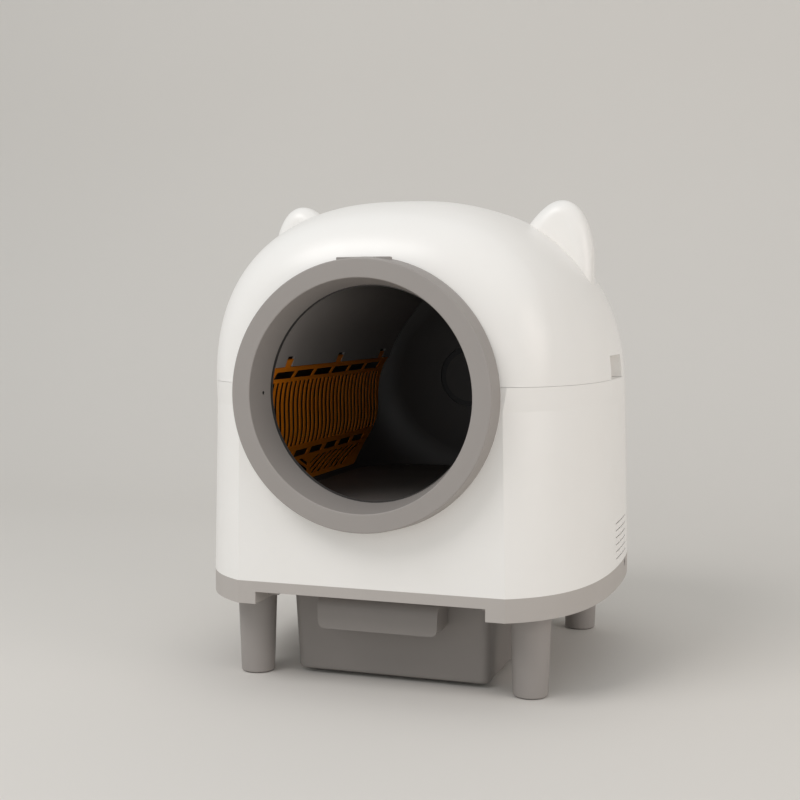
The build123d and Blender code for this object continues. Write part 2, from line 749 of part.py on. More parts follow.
def drum_solid(inset):
    """The drum's round outline as one solid, moved in by inset."""
    mouth_r, cone_end, radius, back = drum_profile(inset)
    with BuildPart(mode=Mode.PRIVATE) as drum:
        with BuildSketch(Plane.YZ):
            with BuildLine():
                FilletPolyline(
                    (MOUTH_Y, AXIS_Z + mouth_r),
                    (cone_end, AXIS_Z + radius),
                    (back, AXIS_Z + radius),
                    (back, AXIS_Z),
                    radius=(CONE_FILLET - inset, BACK_FILLET - inset),
                )
                Polyline((back, AXIS_Z), (MOUTH_Y, AXIS_Z), (MOUTH_Y, AXIS_Z + mouth_r))
            make_face()
        revolve(axis=DRUM_AXIS)
    return drum.part


# Drum halves
drum_outside = drum_solid(0)
drum_inside = drum_solid(DRUM_WALL)
drum_space = drum_solid(DRUM_WALL + INSERT_GAP)
with BuildPart() as drum_front:
    add(drum_outside)
    add(drum_inside, mode=Mode.SUBTRACT)
    split(bisect_by=Plane.XZ.offset(-SPLIT_Y), keep=Keep.TOP)
    add(
        box_between(
            (-OUTLET_WIDTH / 2, -OUTLET_LENGTH / 2, AXIS_Z + DRUM_R / 2),
            (OUTLET_WIDTH / 2, OUTLET_LENGTH / 2, AXIS_Z + DRUM_R + 1),
        ),
        mode=Mode.SUBTRACT,
    )
save(drum_front.part, "drum_front")

with BuildPart() as drum_rear:
    add(drum_outside)
    add(drum_inside, mode=Mode.SUBTRACT)
    split(bisect_by=Plane.XZ.offset(-SPLIT_Y), keep=Keep.BOTTOM)
    add(rod_y(0, AXIS_Z, HUB_HOLE_R, DRUM_BACK_Y - 2 * DRUM_WALL, DRUM_BACK_Y + 1), mode=Mode.SUBTRACT)
save(drum_rear.part, "drum_rear")

with BuildPart() as drum_hub:
    add(rod_y(0, AXIS_Z, HUB_FLANGE_R, DRUM_BACK_Y, DRUM_BACK_Y + HUB_FLANGE))
    add(rod_y(0, AXIS_Z, HUB_STUB_R, DRUM_BACK_Y + HUB_FLANGE, DRUM_BACK_Y + HUB_FLANGE + HUB_STUB))
save(drum_hub.part, "drum_hub")

with BuildPart() as drum_hub_cap:
    add(rod_y(0, AXIS_Z, HUB_CAP_R, DRUM_BACK_Y - DRUM_WALL, DRUM_BACK_Y))
save(drum_hub_cap.part, "drum_hub_cap")


def tooth_turn(teeth, radius):
    """Half the angle of a tooth at a radius, on an involute flank with a little play."""
    pressure = radians(PRESSURE_ANGLE)
    pitch_r = GEAR_MODULE * teeth / 2
    base_r = pitch_r * cos(pressure)
    here = acos(min(1.0, base_r / radius))
    play = TOOTH_PLAY / pitch_r
    return pi / (2 * teeth) - play + (tan(pressure) - pressure) - (tan(here) - here)


def gear_points(teeth, first_turn, steps):
    """Outline of a gear's teeth, with the first tooth centred at first_turn."""
    pitch_r = GEAR_MODULE * teeth / 2
    root_r = pitch_r - 1.2 * GEAR_MODULE
    tip_r = pitch_r + 0.95 * GEAR_MODULE
    radii = [root_r + (tip_r - root_r) * i / steps for i in range(steps + 1)]
    points = []
    for tooth in range(teeth):
        centre = first_turn + 2 * pi * tooth / teeth
        flank = [(r, tooth_turn(teeth, r)) for r in radii]
        for r, half in flank:
            points.append((r * cos(centre - half), r * sin(centre - half)))
        for r, half in reversed(flank):
            points.append((r * cos(centre + half), r * sin(centre + half)))
    return points


# Drive: a tooth of the ring gear points at the pinion, which has a gap there
mesh_turn = -pi / 2 + radians(PINION_ANGLE)
with BuildPart() as ring_gear:
    with BuildSketch(front_plane(0, GEAR_Y, AXIS_Z)):
        with BuildLine():
            Polyline(*gear_points(GEAR_TEETH, mesh_turn, 1), close=True)
        make_face()
        Circle(DRUM_R, mode=Mode.SUBTRACT)
    extrude(amount=-GEAR_WIDTH)
save(ring_gear.part, "ring_gear")

pinion_start = GEAR_Y - PINION_EXTRA
pinion_end = GEAR_Y + GEAR_WIDTH + PINION_EXTRA
boss_end = pinion_end + PINION_BOSS
plate_start = boss_end + PINION_EXTRA
gearbox_start = plate_start + BRACKET_PLATE
with BuildPart() as drive_pinion:
    with BuildSketch(front_plane(PINION_X, pinion_start, PINION_Z)):
        with BuildLine():
            Polyline(*gear_points(PINION_TEETH, mesh_turn + pi + pi / PINION_TEETH, 3), close=True)
        make_face()
    extrude(amount=-(pinion_end - pinion_start))
    add(rod_y(PINION_X, PINION_Z, PINION_BOSS_R, pinion_end, boss_end))
    add(rod_y(PINION_X, PINION_Z, SHAFT_R, boss_end, gearbox_start + SHAFT_REACH))
save(drive_pinion.part, "drive_pinion")

with BuildPart() as drive_motor:
    add(rod_y(PINION_X, PINION_Z, GEARBOX_R, gearbox_start, gearbox_start + GEARBOX_LENGTH))
    add(
        rod_y(
            PINION_X,
            PINION_Z,
            MOTOR_R,
            gearbox_start + GEARBOX_LENGTH,
            gearbox_start + GEARBOX_LENGTH + MOTOR_LENGTH,
        )
    )
    add(
        rod_y(
            PINION_X,
            PINION_Z,
            SHAFT_R + RUNNING_GAP,
            gearbox_start - 1,
            gearbox_start + SHAFT_REACH + FREE_GAP,
        ),
        mode=Mode.SUBTRACT,
    )
    screw_circle = (GEARBOX_R + PINION_BOSS_R) / 2 + SCREW_R
    for i in range(4):
        turn = radians(45 + 90 * i)
        add(
            rod_y(
                PINION_X + screw_circle * cos(turn),
                PINION_Z + screw_circle * sin(turn),
                SCREW_R,
                gearbox_start,
                gearbox_start + SCREW_REACH,
            ),
            mode=Mode.SUBTRACT,
        )
save(drive_motor.part, "drive_motor")

bracket_low_x = PINION_X - BRACKET_R
bracket_high_x = PINION_X + BRACKET_R
with BuildPart() as motor_bracket:
    add(rod_y(PINION_X, PINION_Z, BRACKET_R, plate_start, gearbox_start))
    add(box_between((bracket_low_x, plate_start, FLOOR_TOP_Z), (bracket_high_x, gearbox_start, PINION_Z)))
    add(
        box_between(
            (bracket_low_x, plate_start, FLOOR_TOP_Z),
            (bracket_high_x, gearbox_start + BRACKET_FOOT, FLOOR_TOP_Z + BRACKET_PLATE),
        )
    )
    add(
        rod_y(PINION_X, PINION_Z, PINION_BOSS_R + 1, plate_start - 1, gearbox_start + 1),
        mode=Mode.SUBTRACT,
    )
    for i in range(4):
        turn = radians(45 + 90 * i)
        add(
            rod_y(
                PINION_X + screw_circle * cos(turn),
                PINION_Z + screw_circle * sin(turn),
                SCREW_R,
                plate_start - 1,
                gearbox_start + 1,
            ),
            mode=Mode.SUBTRACT,
        )
save(motor_bracket.part, "motor_bracket")

with BuildPart() as motor_screws:
    for i in range(4):
        turn = radians(45 + 90 * i)
        x = PINION_X + screw_circle * cos(turn)
        z = PINION_Z + screw_circle * sin(turn)
        add(rod_y(x, z, SCREW_HEAD_R, plate_start - SCREW_HEAD, plate_start))
        add(rod_y(x, z, SCREW_R, plate_start, gearbox_start + SCREW_REACH))
save(motor_screws.part, "motor_screws")

# Support rollers, their axles and stands
roller_start = ROLLER_Y - ROLLER_WIDTH / 2
roller_end = ROLLER_Y + ROLLER_WIDTH / 2
cheek_starts = (roller_start - CHEEK_GAP - CHEEK, roller_end + CHEEK_GAP)
stand_low_y = cheek_starts[0] - STAND_PLATE
stand_high_y = cheek_starts[1] + CHEEK + STAND_PLATE
for name, side in (("left", -1), ("right", 1)):
    x = side * ROLLER_X
    with BuildPart() as support_roller:
        add(rod_y(x, ROLLER_Z, ROLLER_R, roller_start, roller_end))
        add(rod_y(x, ROLLER_Z, AXLE_R + RUNNING_GAP, roller_start - 1, roller_end + 1), mode=Mode.SUBTRACT)
    save(support_roller.part, f"support_roller_{name}")
    with BuildPart() as roller_stand:
        add(
            box_between(
                (x - STAND_WIDTH / 2, stand_low_y, FLOOR_TOP_Z),
                (x + STAND_WIDTH / 2, stand_high_y, FLOOR_TOP_Z + STAND_PLATE),
            )
        )
        for start in cheek_starts:
            add(box_between((x - CHEEK_R, start, FLOOR_TOP_Z), (x + CHEEK_R, start + CHEEK, ROLLER_Z)))
            add(rod_y(x, ROLLER_Z, CHEEK_R, start, start + CHEEK))
            add(rod_y(x, ROLLER_Z, AXLE_R, start - 1, start + CHEEK + 1), mode=Mode.SUBTRACT)
        with Locations(
            *[
                (x + dx, ROLLER_Y + dy, FLOOR_TOP_Z + STAND_PLATE)
                for dx in (-STAND_WIDTH / 2 + 2 * SCREW_HEAD_R, STAND_WIDTH / 2 - 2 * SCREW_HEAD_R)
                for dy in (-ROLLER_WIDTH / 2, ROLLER_WIDTH / 2)
            ]
        ):
            Hole(SCREW_R, depth=STAND_PLATE)
    save(roller_stand.part, f"roller_stand_{name}")

with BuildPart() as roller_axles:
    for side in (-1, 1):
        add(rod_y(side * ROLLER_X, ROLLER_Z, AXLE_R, cheek_starts[0] - 1, cheek_starts[1] + CHEEK + 1))
save(roller_axles.part, "roller_axles")

with BuildPart() as stand_screws:
    for side in (-1, 1):
        for dx in (-STAND_WIDTH / 2 + 2 * SCREW_HEAD_R, STAND_WIDTH / 2 - 2 * SCREW_HEAD_R):
            for dy in (-ROLLER_WIDTH / 2, ROLLER_WIDTH / 2):
                plate_top = FLOOR_TOP_Z + STAND_PLATE
                with Locations((side * ROLLER_X + dx, ROLLER_Y + dy, FLOOR_TOP_Z)):
                    Cylinder(SCREW_R, STAND_PLATE, align=(Align.CENTER, Align.CENTER, Align.MIN))
                with Locations((side * ROLLER_X + dx, ROLLER_Y + dy, plate_top)):
                    Cylinder(SCREW_HEAD_R, SCREW_HEAD, align=(Align.CENTER, Align.CENTER, Align.MIN))
save(stand_screws.part, "stand_screws")

# Hub bearing on the rear wall: open at the top, so that the drum lifts out
hub_start = DRUM_BACK_Y + HUB_FLANGE
arm_start = hub_start + HUB_STUB / 2
arm_end = hub_start + HUB_STUB - PINION_EXTRA
arm_half = HUB_STUB_R + BEARING_WALL
with BuildPart() as hub_bearing:
    arm_top_z = LOWER_TOP_Z - BRACKET_PLATE
    add(box_between((-arm_half, arm_start, bearing_shelf_z), (arm_half, arm_end, arm_top_z)))
    add(
        box_between(
            (-arm_half, arm_start, bearing_shelf_z),
            (arm_half, wall_y, bearing_shelf_z + 2 * BRACKET_PLATE),
        )
    )
    add(
        box_between(
            (-BEARING_HALF, wall_y - BRACKET_PLATE, bearing_low_z),
            (BEARING_HALF, wall_y, bearing_low_z + BEARING_HEIGHT),
        )
    )
    add(rod_y(0, AXIS_Z, HUB_STUB_R + RUNNING_GAP, arm_start - 1, arm_end + 1), mode=Mode.SUBTRACT)
    add(
        box_between(
            (-HUB_STUB_R - RUNNING_GAP, arm_start - 1, AXIS_Z),
            (HUB_STUB_R + RUNNING_GAP, arm_end + 1, SEAM_Z),
        ),
        mode=Mode.SUBTRACT,
    )
    for x, z in bearing_holes:
        add(rod_y(x, z, SCREW_R, wall_y - 2 * BRACKET_PLATE, wall_y), mode=Mode.SUBTRACT)
    add(body_shape(SHELL_WALL + FIT_GAP), mode=Mode.INTERSECT)
save(hub_bearing.part, "hub_bearing")

with BuildPart() as bearing_screws:
    for x, z in bearing_holes:
        plate_y = wall_y - BRACKET_PLATE
        add(rod_y(x, z, SCREW_HEAD_R, plate_y - SCREW_HEAD, plate_y))
        add(rod_y(x, z, SCREW_R, plate_y, wall_y + BLIND_DEPTH))
save(bearing_screws.part, "bearing_screws")

# Sieve, panel and floor inside the drum, on one curved section
sieve_line = (
    (-150.5, -140.0),
    (-156.6, -103.5),
    (-150.4, -83.5),
    (-145.2, -63.5),
    (-144.8, -29.5),
    (-141.7, 2.5),
    (-130.0, SIEVE_TOP),
)
panel_line = (
    (-129.0, SIEVE_TOP + 1),
    (-114.7, 61.0),
    (-101.8, 81.5),
    (-80.3, 109.0),
    (-64.0, 147.0),
    (-60.0, 200.0),
)


def sheet(line, start, end, wall):
    """A curved sheet of a wall's thickness, along Y, whose section follows the line."""
    with BuildPart(mode=Mode.PRIVATE) as part:
        with BuildSketch(front_plane(0, start, AXIS_Z)):
            with BuildLine():
                Spline(*line)
            trace(line_width=wall)
        extrude(amount=-(end - start))
    return part.part


def leaning_slot(start, low, high, length, slant):
    """Corners of a four-sided hole in a side view, with its top end moved by slant."""
    return ((start, low), (start + length, low), (start + length + slant, high), (start + slant, high))


side_view = Plane((-DRUM_R, 0, AXIS_Z), x_dir=(0, 1, 0), z_dir=(1, 0, 0))
windows = [
    leaning_slot(first + i * pitch, low, low + WINDOW_HEIGHT, pitch - bar, WINDOW_SLANT)
    for first, low, pitch, bar in (
        (UPPER_WINDOW_Y, UPPER_WINDOW_Z, UPPER_WINDOW_PITCH, WINDOW_BAR),
        (LOWER_WINDOW_Y, LOWER_WINDOW_Z, LOWER_WINDOW_PITCH, LOWER_WINDOW_BAR),
    )
    for i in range(WINDOW_COUNT)
]


def facet_slots(sign, first, count):
    """Slots that lean away from the rib on one side of it, the first ones cut short by the rib."""
    rib_side = sorted((RIB_Y + sign * RIB_HALF, RIB_Y + sign * BODY_WIDTH))
    with BuildPart(mode=Mode.PRIVATE) as slots:
        with BuildSketch(side_view):
            for i in range(-FACET_SHORT_SLOTS, count - FACET_SHORT_SLOTS):
                with BuildLine():
                    Polyline(
                        *leaning_slot(
                            first + sign * i * FACET_PITCH,
                            FACET_BOTTOM,
                            FACET_TOP,
                            FACET_SLOT,
                            sign * FACET_SLANT,
                        ),
                        close=True,
                    )
                make_face()
        extrude(amount=DRUM_R)
        add(
            box_between((-BODY_WIDTH, rib_side[0], 0), (BODY_WIDTH, rib_side[1], DOME_TOP_Z)),
            mode=Mode.INTERSECT,
        )
    return slots.part


panel_lean = (panel_line[1][0] - panel_line[0][0]) / (panel_line[1][1] - panel_line[0][1])
tab_top = (panel_line[0][0] + panel_lean * TAB_HEIGHT, panel_line[0][1] + TAB_HEIGHT)

with BuildPart() as sieve:
    add(sheet(sieve_line, MOUTH_Y, DRUM_BACK_Y, SIEVE_WALL))
    add(drum_space, mode=Mode.INTERSECT)
    with BuildSketch(side_view):
        with Locations((0, (SLOT_TOP + SLOT_BOTTOM) / 2)):
            with GridLocations(SLOT_PITCH, SLOT_PITCH, SLOT_COUNT, 1):
                Rectangle(SLOT_WIDTH, SLOT_TOP - SLOT_BOTTOM)
        for corners in windows:
            with BuildLine():
                Polyline(*corners, close=True)
            make_face()
    extrude(amount=DRUM_R, mode=Mode.SUBTRACT)
    add(facet_slots(1, RIB_Y + RIB_HALF, FACET_REAR_SLOTS), mode=Mode.SUBTRACT)
    add(facet_slots(-1, RIB_Y - RIB_HALF - FACET_SLOT, FACET_FRONT_SLOTS), mode=Mode.SUBTRACT)
    for y in TAB_YS:
        with BuildSketch(front_plane(0, y - TAB_WIDTH / 2, AXIS_Z)):
            with BuildLine():
                Line(sieve_line[-1], tab_top)
            trace(line_width=SIEVE_WALL)
        extrude(amount=-TAB_WIDTH)
save(sieve.part, "sieve")

with BuildPart() as sieve_panel:
    add(sheet(panel_line, MOUTH_Y, DRUM_BACK_Y, PANEL_WALL))
    add(drum_space, mode=Mode.INTERSECT)
    for y in TAB_YS:
        add(
            box_between(
                (-DRUM_R, y - TAB_WIDTH / 2 - TAB_GAP, AXIS_Z + SIEVE_TOP - TAB_GAP),
                (0, y + TAB_WIDTH / 2 + TAB_GAP, AXIS_Z + tab_top[1] + TAB_NOTCH),
            ),
            mode=Mode.SUBTRACT,
        )
save(sieve_panel.part, "sieve_panel")

with BuildPart() as drum_floor:
    floor_z = AXIS_Z - FLOOR_DROP
    add(box_between((-DRUM_R, MOUTH_Y, floor_z - DRUM_FLOOR_WALL), (DRUM_R, DRUM_BACK_Y, floor_z)))
    for x in (-FLOOR_RIB_X, FLOOR_RIB_X):
        add(
            box_between(
                (x - DRUM_FLOOR_WALL / 2, MOUTH_Y, AXIS_Z - DRUM_R),
                (x + DRUM_FLOOR_WALL / 2, DRUM_BACK_Y, floor_z - DRUM_FLOOR_WALL / 2),
            )
        )
    add(drum_space, mode=Mode.INTERSECT)
save(drum_floor.part, "drum_floor")

# Chute through the floor, cut round to follow the drum
chute_half = CHUTE_WIDTH / 2 - FREE_GAP
with BuildPart() as waste_chute:
    add(
        box_between(
            (-chute_half, CHUTE_START_Y + FREE_GAP, FLOOR_BOTTOM_Z - CHUTE_DROP),
            (chute_half, CHUTE_END_Y - FREE_GAP, AXIS_Z - DRUM_R / 2),
        )
    )
    add(
        box_between(
            (-chute_half - CHUTE_FLANGE, CHUTE_START_Y - CHUTE_FLANGE, FLOOR_TOP_Z),
            (chute_half + CHUTE_FLANGE, CHUTE_END_Y + CHUTE_FLANGE, FLOOR_TOP_Z + CHUTE_WALL),
        )
    )
    add(
        box_between(
            (
                -chute_half + CHUTE_WALL,
                CHUTE_START_Y + FREE_GAP + CHUTE_WALL,
                FLOOR_BOTTOM_Z - CHUTE_DROP - 1,
            ),
            (chute_half - CHUTE_WALL, CHUTE_END_Y - FREE_GAP - CHUTE_WALL, AXIS_Z),
        ),
        mode=Mode.SUBTRACT,
    )
    add(
        rod_y(0, AXIS_Z, DRUM_R + CHUTE_CLEARANCE, CHUTE_START_Y - 1, CHUTE_END_Y + 1),
        mode=Mode.SUBTRACT,
    )
save(waste_chute.part, "waste_chute")


# Waste bin with its rim and scoop handle
def bin_level(half, front, back, z):
    """One level of the bin: half width, front, back and height."""
    return Plane((0, (front + back) / 2, z)), 2 * half, back - front


def bin_body(inset, bottom):
    """The bin's tapered body, moved in by inset, from bottom to just over the rim."""
    levels = (
        bin_level(BIN_BOTTOM_HALF - inset, BIN_FRONT_BOTTOM_Y + inset, BIN_BACK_BOTTOM_Y - inset, bottom),
        bin_level(BIN_TOP_HALF - inset, BIN_FRONT_TOP_Y + inset, BIN_BACK_TOP_Y - inset, BIN_RIM_Z),
    )
    with BuildPart(mode=Mode.PRIVATE) as body:
        for plane, width, depth in levels:
            with BuildSketch(plane):
                RectangleRounded(width, depth, BIN_CORNER_R - inset)
        loft()
        fillet(body.edges().group_by(Axis.Z)[0], BIN_EDGE - inset / 2)
    return body.part


def scoop(inset, drop):
    """The handle's rounded block, moved in by inset and carried on below by drop."""
    front = HANDLE_FRONT_Y + inset
    top = BIN_RIM_Z - inset
    low = HANDLE_BOTTOM_Z - drop
    curve = HANDLE_CURVE - inset
    half = HANDLE_HALF - inset
    corner = max(HANDLE_CORNER - inset, 1)
    taper = HANDLE_TAPER / (BIN_RIM_Z - HANDLE_BOTTOM_Z)
    with BuildPart(mode=Mode.PRIVATE) as block:
        with BuildSketch(Plane.YZ.offset(-half)):
            with BuildLine():
                Polyline(
                    (front, top - curve),
                    (front, low),
                    (HANDLE_BACK_Y, low),
                    (HANDLE_BACK_Y, top),
                    (front + curve, top),
                )
                RadiusArc((front + curve, top), (front, top - curve), -curve)
            make_face()
        extrude(amount=2 * half)
        with BuildSketch(front_plane(0, front - 1, 0)):
            with BuildLine():
                FilletPolyline(
                    (-half, top + 1),
                    (-half + taper * (top - low), low),
                    (half - taper * (top - low), low),
                    (half, top + 1),
                    radius=(corner, corner),
                )
                Line((half, top + 1), (-half, top + 1))
            make_face()
        extrude(amount=-(HANDLE_BACK_Y - front + 2), mode=Mode.INTERSECT)
    return block.part


with BuildPart() as waste_bin:
    add(scoop(0, 0))
    add(scoop(HANDLE_WALL, HANDLE_WALL), mode=Mode.SUBTRACT)
    add(bin_body(0, BIN_BOTTOM_Z))
    rim_z = RAIL_BOTTOM_Z + RAIL_WALL + FREE_GAP
    with BuildSketch(Plane((0, (BIN_FRONT_TOP_Y + BIN_BACK_TOP_Y) / 2, rim_z))):
        RectangleRounded(
            2 * RIM_HALF, BIN_BACK_TOP_Y - BIN_FRONT_TOP_Y + 2 * RIM_REACH, BIN_CORNER_R + RIM_REACH
        )
    extrude(amount=RIM_THICKNESS)
    add(bin_body(BIN_WALL, BIN_BOTTOM_Z + BIN_WALL), mode=Mode.SUBTRACT)
save(waste_bin.part, "waste_bin")

# Rails on the channel walls under the floor, which carry the bin's rim
rail_outer_x = NOTCH_WIDTH / 2 - FIT_GAP
rail_inner_x = rail_outer_x - RAIL_WALL
for name, side in (("left", -1), ("right", 1)):
    with BuildPart() as bin_rail:
        low_x, high_x = sorted((side * rail_inner_x, side * rail_outer_x))
        add(box_between((low_x, RAIL_START_Y, RAIL_BOTTOM_Z), (high_x, RAIL_END_Y, RAIL_TOP_Z)))
        for y in RAIL_SCREW_YS:
            add(rod_x(y, RAIL_SCREW_Z, SCREW_R, low_x - 1, high_x + 1), mode=Mode.SUBTRACT)
        low_x, high_x = sorted((side * (rail_outer_x - RAIL_REACH), side * rail_outer_x))
        foot_top_z = RAIL_BOTTOM_Z + RAIL_WALL
        add(box_between((low_x, RAIL_START_Y, RAIL_BOTTOM_Z), (high_x, RAIL_END_Y, foot_top_z)))
    save(bin_rail.part, f"bin_rail_{name}")

with BuildPart() as rail_screws:
    for side in (-1, 1):
        shank_x = sorted((side * rail_inner_x, side * (NOTCH_WIDTH / 2 + CHANNEL_WALL)))
        head_x = sorted((side * (rail_inner_x - SCREW_HEAD), side * rail_inner_x))
        for y in RAIL_SCREW_YS:
            add(rod_x(y, RAIL_SCREW_Z, SCREW_R, *shank_x))
            add(rod_x(y, RAIL_SCREW_Z, SMALL_HEAD_R, *head_x))
save(rail_screws.part, "rail_screws")

# Deodorising fan behind the vent slits
fan_outer_x = side_x(FAN_Y + FAN_SIZE / 2, FAN_Z + FAN_SIZE / 2, SHELL_WALL) - FAN_GAP
fan_inner_x = fan_outer_x - FAN_DEPTH
with BuildPart() as fan_frame:
    add(
        box_between(
            (fan_inner_x, FAN_Y - FAN_SIZE / 2, FAN_Z - FAN_SIZE / 2),
            (fan_outer_x, FAN_Y + FAN_SIZE / 2, FAN_Z + FAN_SIZE / 2),
        )
    )
    add(
        box_between(
            (fan_inner_x, FAN_Y - FAN_SIZE / 4, FLOOR_TOP_Z),
            (fan_outer_x, FAN_Y + FAN_SIZE / 4, FAN_Z - FAN_SIZE / 2),
        )
    )
    with BuildSketch(Plane((fan_inner_x, FAN_Y, FAN_Z), x_dir=(0, 1, 0), z_dir=(1, 0, 0))):
        Circle(FAN_BORE_R)
    extrude(amount=FAN_DEPTH, mode=Mode.SUBTRACT)
    with BuildSketch(Plane((fan_inner_x, FAN_Y, FAN_Z), x_dir=(0, 1, 0), z_dir=(1, 0, 0))):
        Circle(FAN_HUB_R)
        Rectangle(2 * FAN_BORE_R + 1, FAN_BACK)
        Rectangle(FAN_BACK, 2 * FAN_BORE_R + 1)
    extrude(amount=FAN_BACK)
    with BuildSketch(Plane((fan_inner_x, FAN_Y, FAN_Z), x_dir=(0, 1, 0), z_dir=(1, 0, 0))):
        Circle(FAN_PIN_R)
    extrude(amount=FAN_DEPTH - FAN_BACK)
save(fan_frame.part, "fan_frame")

fan_rotor_x = fan_inner_x + FAN_BACK + FREE_GAP
fan_rotor_depth = FAN_DEPTH - 2 * FAN_BACK
with BuildPart() as fan_rotor:
    with BuildSketch(Plane((fan_rotor_x, FAN_Y, FAN_Z), x_dir=(0, 1, 0), z_dir=(1, 0, 0))):
        Circle(FAN_HUB_R)
    extrude(amount=fan_rotor_depth)
    for i in range(FAN_BLADES):
        turn = 2 * pi * i / FAN_BLADES
        outwards = (0, cos(turn), sin(turn))
        with BuildSketch(
            Plane((fan_rotor_x, FAN_Y, FAN_Z), x_dir=(1, 0, 0), z_dir=outwards).offset(FAN_HUB_R / 2)
        ):
            with BuildLine():
                Polyline(
                    (0, -FAN_TWIST),
                    (0, -FAN_TWIST + FAN_BLADE),
                    (fan_rotor_depth, FAN_TWIST),
                    (fan_rotor_depth, FAN_TWIST - FAN_BLADE),
                    close=True,
                )
            make_face()
        extrude(amount=FAN_BORE_R - FAN_GAP - FAN_HUB_R / 2)
    with BuildSketch(Plane((fan_rotor_x, FAN_Y, FAN_Z), x_dir=(0, 1, 0), z_dir=(1, 0, 0))):
        Circle(FAN_PIN_R + RUNNING_GAP)
    extrude(amount=fan_rotor_depth, mode=Mode.SUBTRACT)
save(fan_rotor.part, "fan_rotor")

# Control board on standoffs
board_corners = [
    (BOARD_X + dx * (BOARD_WIDTH / 2 - STANDOFF_INSET), BOARD_Y + dy * (BOARD_LENGTH / 2 - STANDOFF_INSET))
    for dx in (-1, 1)
    for dy in (-1, 1)
]
board_z = FLOOR_TOP_Z + STANDOFF_HEIGHT
with BuildPart() as board_standoffs:
    for x, y in board_corners:
        with Locations((x, y, FLOOR_TOP_Z)):
            Cylinder(STANDOFF_R, STANDOFF_HEIGHT, align=(Align.CENTER, Align.CENTER, Align.MIN))
        with Locations((x, y, board_z)):
            Cylinder(BOARD_PIN_R, 2 * BOARD_THICKNESS, align=(Align.CENTER, Align.CENTER, Align.MIN))
save(board_standoffs.part, "board_standoffs")

with BuildPart() as control_board:
    with Locations((BOARD_X, BOARD_Y, board_z)):
        Box(BOARD_WIDTH, BOARD_LENGTH, BOARD_THICKNESS, align=(Align.CENTER, Align.CENTER, Align.MIN))
    for dx, dy, width, length, height in BOARD_BLOCKS:
        with Locations((BOARD_X + dx, BOARD_Y + dy, board_z + BOARD_THICKNESS)):
            Box(width, length, height, align=(Align.CENTER, Align.CENTER, Align.MIN))
    for dx, dy, radius, height in BOARD_CANS:
        with Locations((BOARD_X + dx, BOARD_Y + dy, board_z + BOARD_THICKNESS)):
            Cylinder(radius, height, align=(Align.CENTER, Align.CENTER, Align.MIN))
    with Locations(*[(x, y, board_z + BOARD_THICKNESS) for x, y in board_corners]):
        Hole(BOARD_PIN_R, depth=BOARD_THICKNESS)
save(control_board.part, "control_board")
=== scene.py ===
# %% [markdown]
# # A self-cleaning litter box
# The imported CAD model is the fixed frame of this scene: its pieces already have the right size and place,
# in metres, with the front facing -Y and +Z up. Each step below says what a piece or finish is on the real
# box, how it could be made in Blender, and why one way was chosen.

# %% Load the frame and keep its box
import json
import math
import random

import bmesh
import bpy
from mathutils import Matrix, Vector


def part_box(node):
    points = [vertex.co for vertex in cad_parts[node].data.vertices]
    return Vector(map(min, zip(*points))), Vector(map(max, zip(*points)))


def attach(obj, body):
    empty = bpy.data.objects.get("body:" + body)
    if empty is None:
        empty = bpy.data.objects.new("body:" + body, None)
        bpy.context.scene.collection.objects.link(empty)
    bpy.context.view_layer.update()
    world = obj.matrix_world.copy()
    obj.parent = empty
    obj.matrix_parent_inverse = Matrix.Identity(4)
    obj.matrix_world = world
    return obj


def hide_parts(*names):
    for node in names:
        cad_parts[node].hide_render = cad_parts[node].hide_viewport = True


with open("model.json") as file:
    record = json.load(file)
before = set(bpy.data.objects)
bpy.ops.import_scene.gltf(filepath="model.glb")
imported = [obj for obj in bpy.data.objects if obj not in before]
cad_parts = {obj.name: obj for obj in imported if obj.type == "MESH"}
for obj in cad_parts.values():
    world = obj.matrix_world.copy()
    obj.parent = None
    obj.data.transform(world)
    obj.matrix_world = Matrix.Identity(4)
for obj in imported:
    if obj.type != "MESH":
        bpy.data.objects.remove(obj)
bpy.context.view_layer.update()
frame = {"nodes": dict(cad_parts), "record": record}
nodes = frame["nodes"]
print("pieces from the CAD model:", len(nodes))

# %% [markdown]
# ## Camera
# The photograph looks at the box from its right, a little above the middle, with a normal lens. The camera
# could be placed by eye, but its pose was solved from the round entrance, the seam and the legs, so the
# numbers are typed in: where it stands and which way it looks.

# %% Camera at the photograph's angle
CAMERA_PLACE = Vector((0.50234, -1.62873, 0.45905))
CAMERA_FORWARD = Vector((-0.3148, 0.9467, -0.0686)).normalized()
CAMERA_LENS_MM = 57.0
CAMERA_SENSOR_MM = 36.0

camera_data = bpy.data.cameras.new("camera")
camera_data.lens = CAMERA_LENS_MM
camera_data.sensor_width = CAMERA_SENSOR_MM
camera = bpy.data.objects.new("camera", camera_data)
bpy.context.scene.collection.objects.link(camera)
camera.location = CAMERA_PLACE
camera.rotation_euler = CAMERA_FORWARD.to_track_quat("-Z", "Y").to_euler()
bpy.context.scene.camera = camera

# %% [markdown]
# ## Colours and nodes
# Colours are picked as sRGB hex values, the way a paint chart gives them. The renderer works in linear
# light, so one function turns them over. A second small function adds any node with its settings and
# links, and a third turns a real size in millimetres into the scale of a pattern.


# %% Helpers for materials
def hex_colour(text, alpha=1.0):
    """Linear colour from an sRGB hex value such as #C0FFEE."""
    channels = [int(text[i : i + 2], 16) / 255 for i in (1, 3, 5)]
    linear = [c / 12.92 if c <= 0.04045 else ((c + 0.055) / 1.055) ** 2.4 for c in channels]
    return (*linear, alpha)


def add_node(tree, kind, inputs=None, **settings):
    """Add a node: inputs maps a socket's name or number to a value or to another node's output."""
    node = tree.nodes.new(kind)
    for name, value in settings.items():
        setattr(node, name, value)
    for name, value in (inputs or {}).items():
        if isinstance(value, bpy.types.NodeSocket):
            tree.links.new(value, node.inputs[name])
        else:
            node.inputs[name].default_value = value
    return node


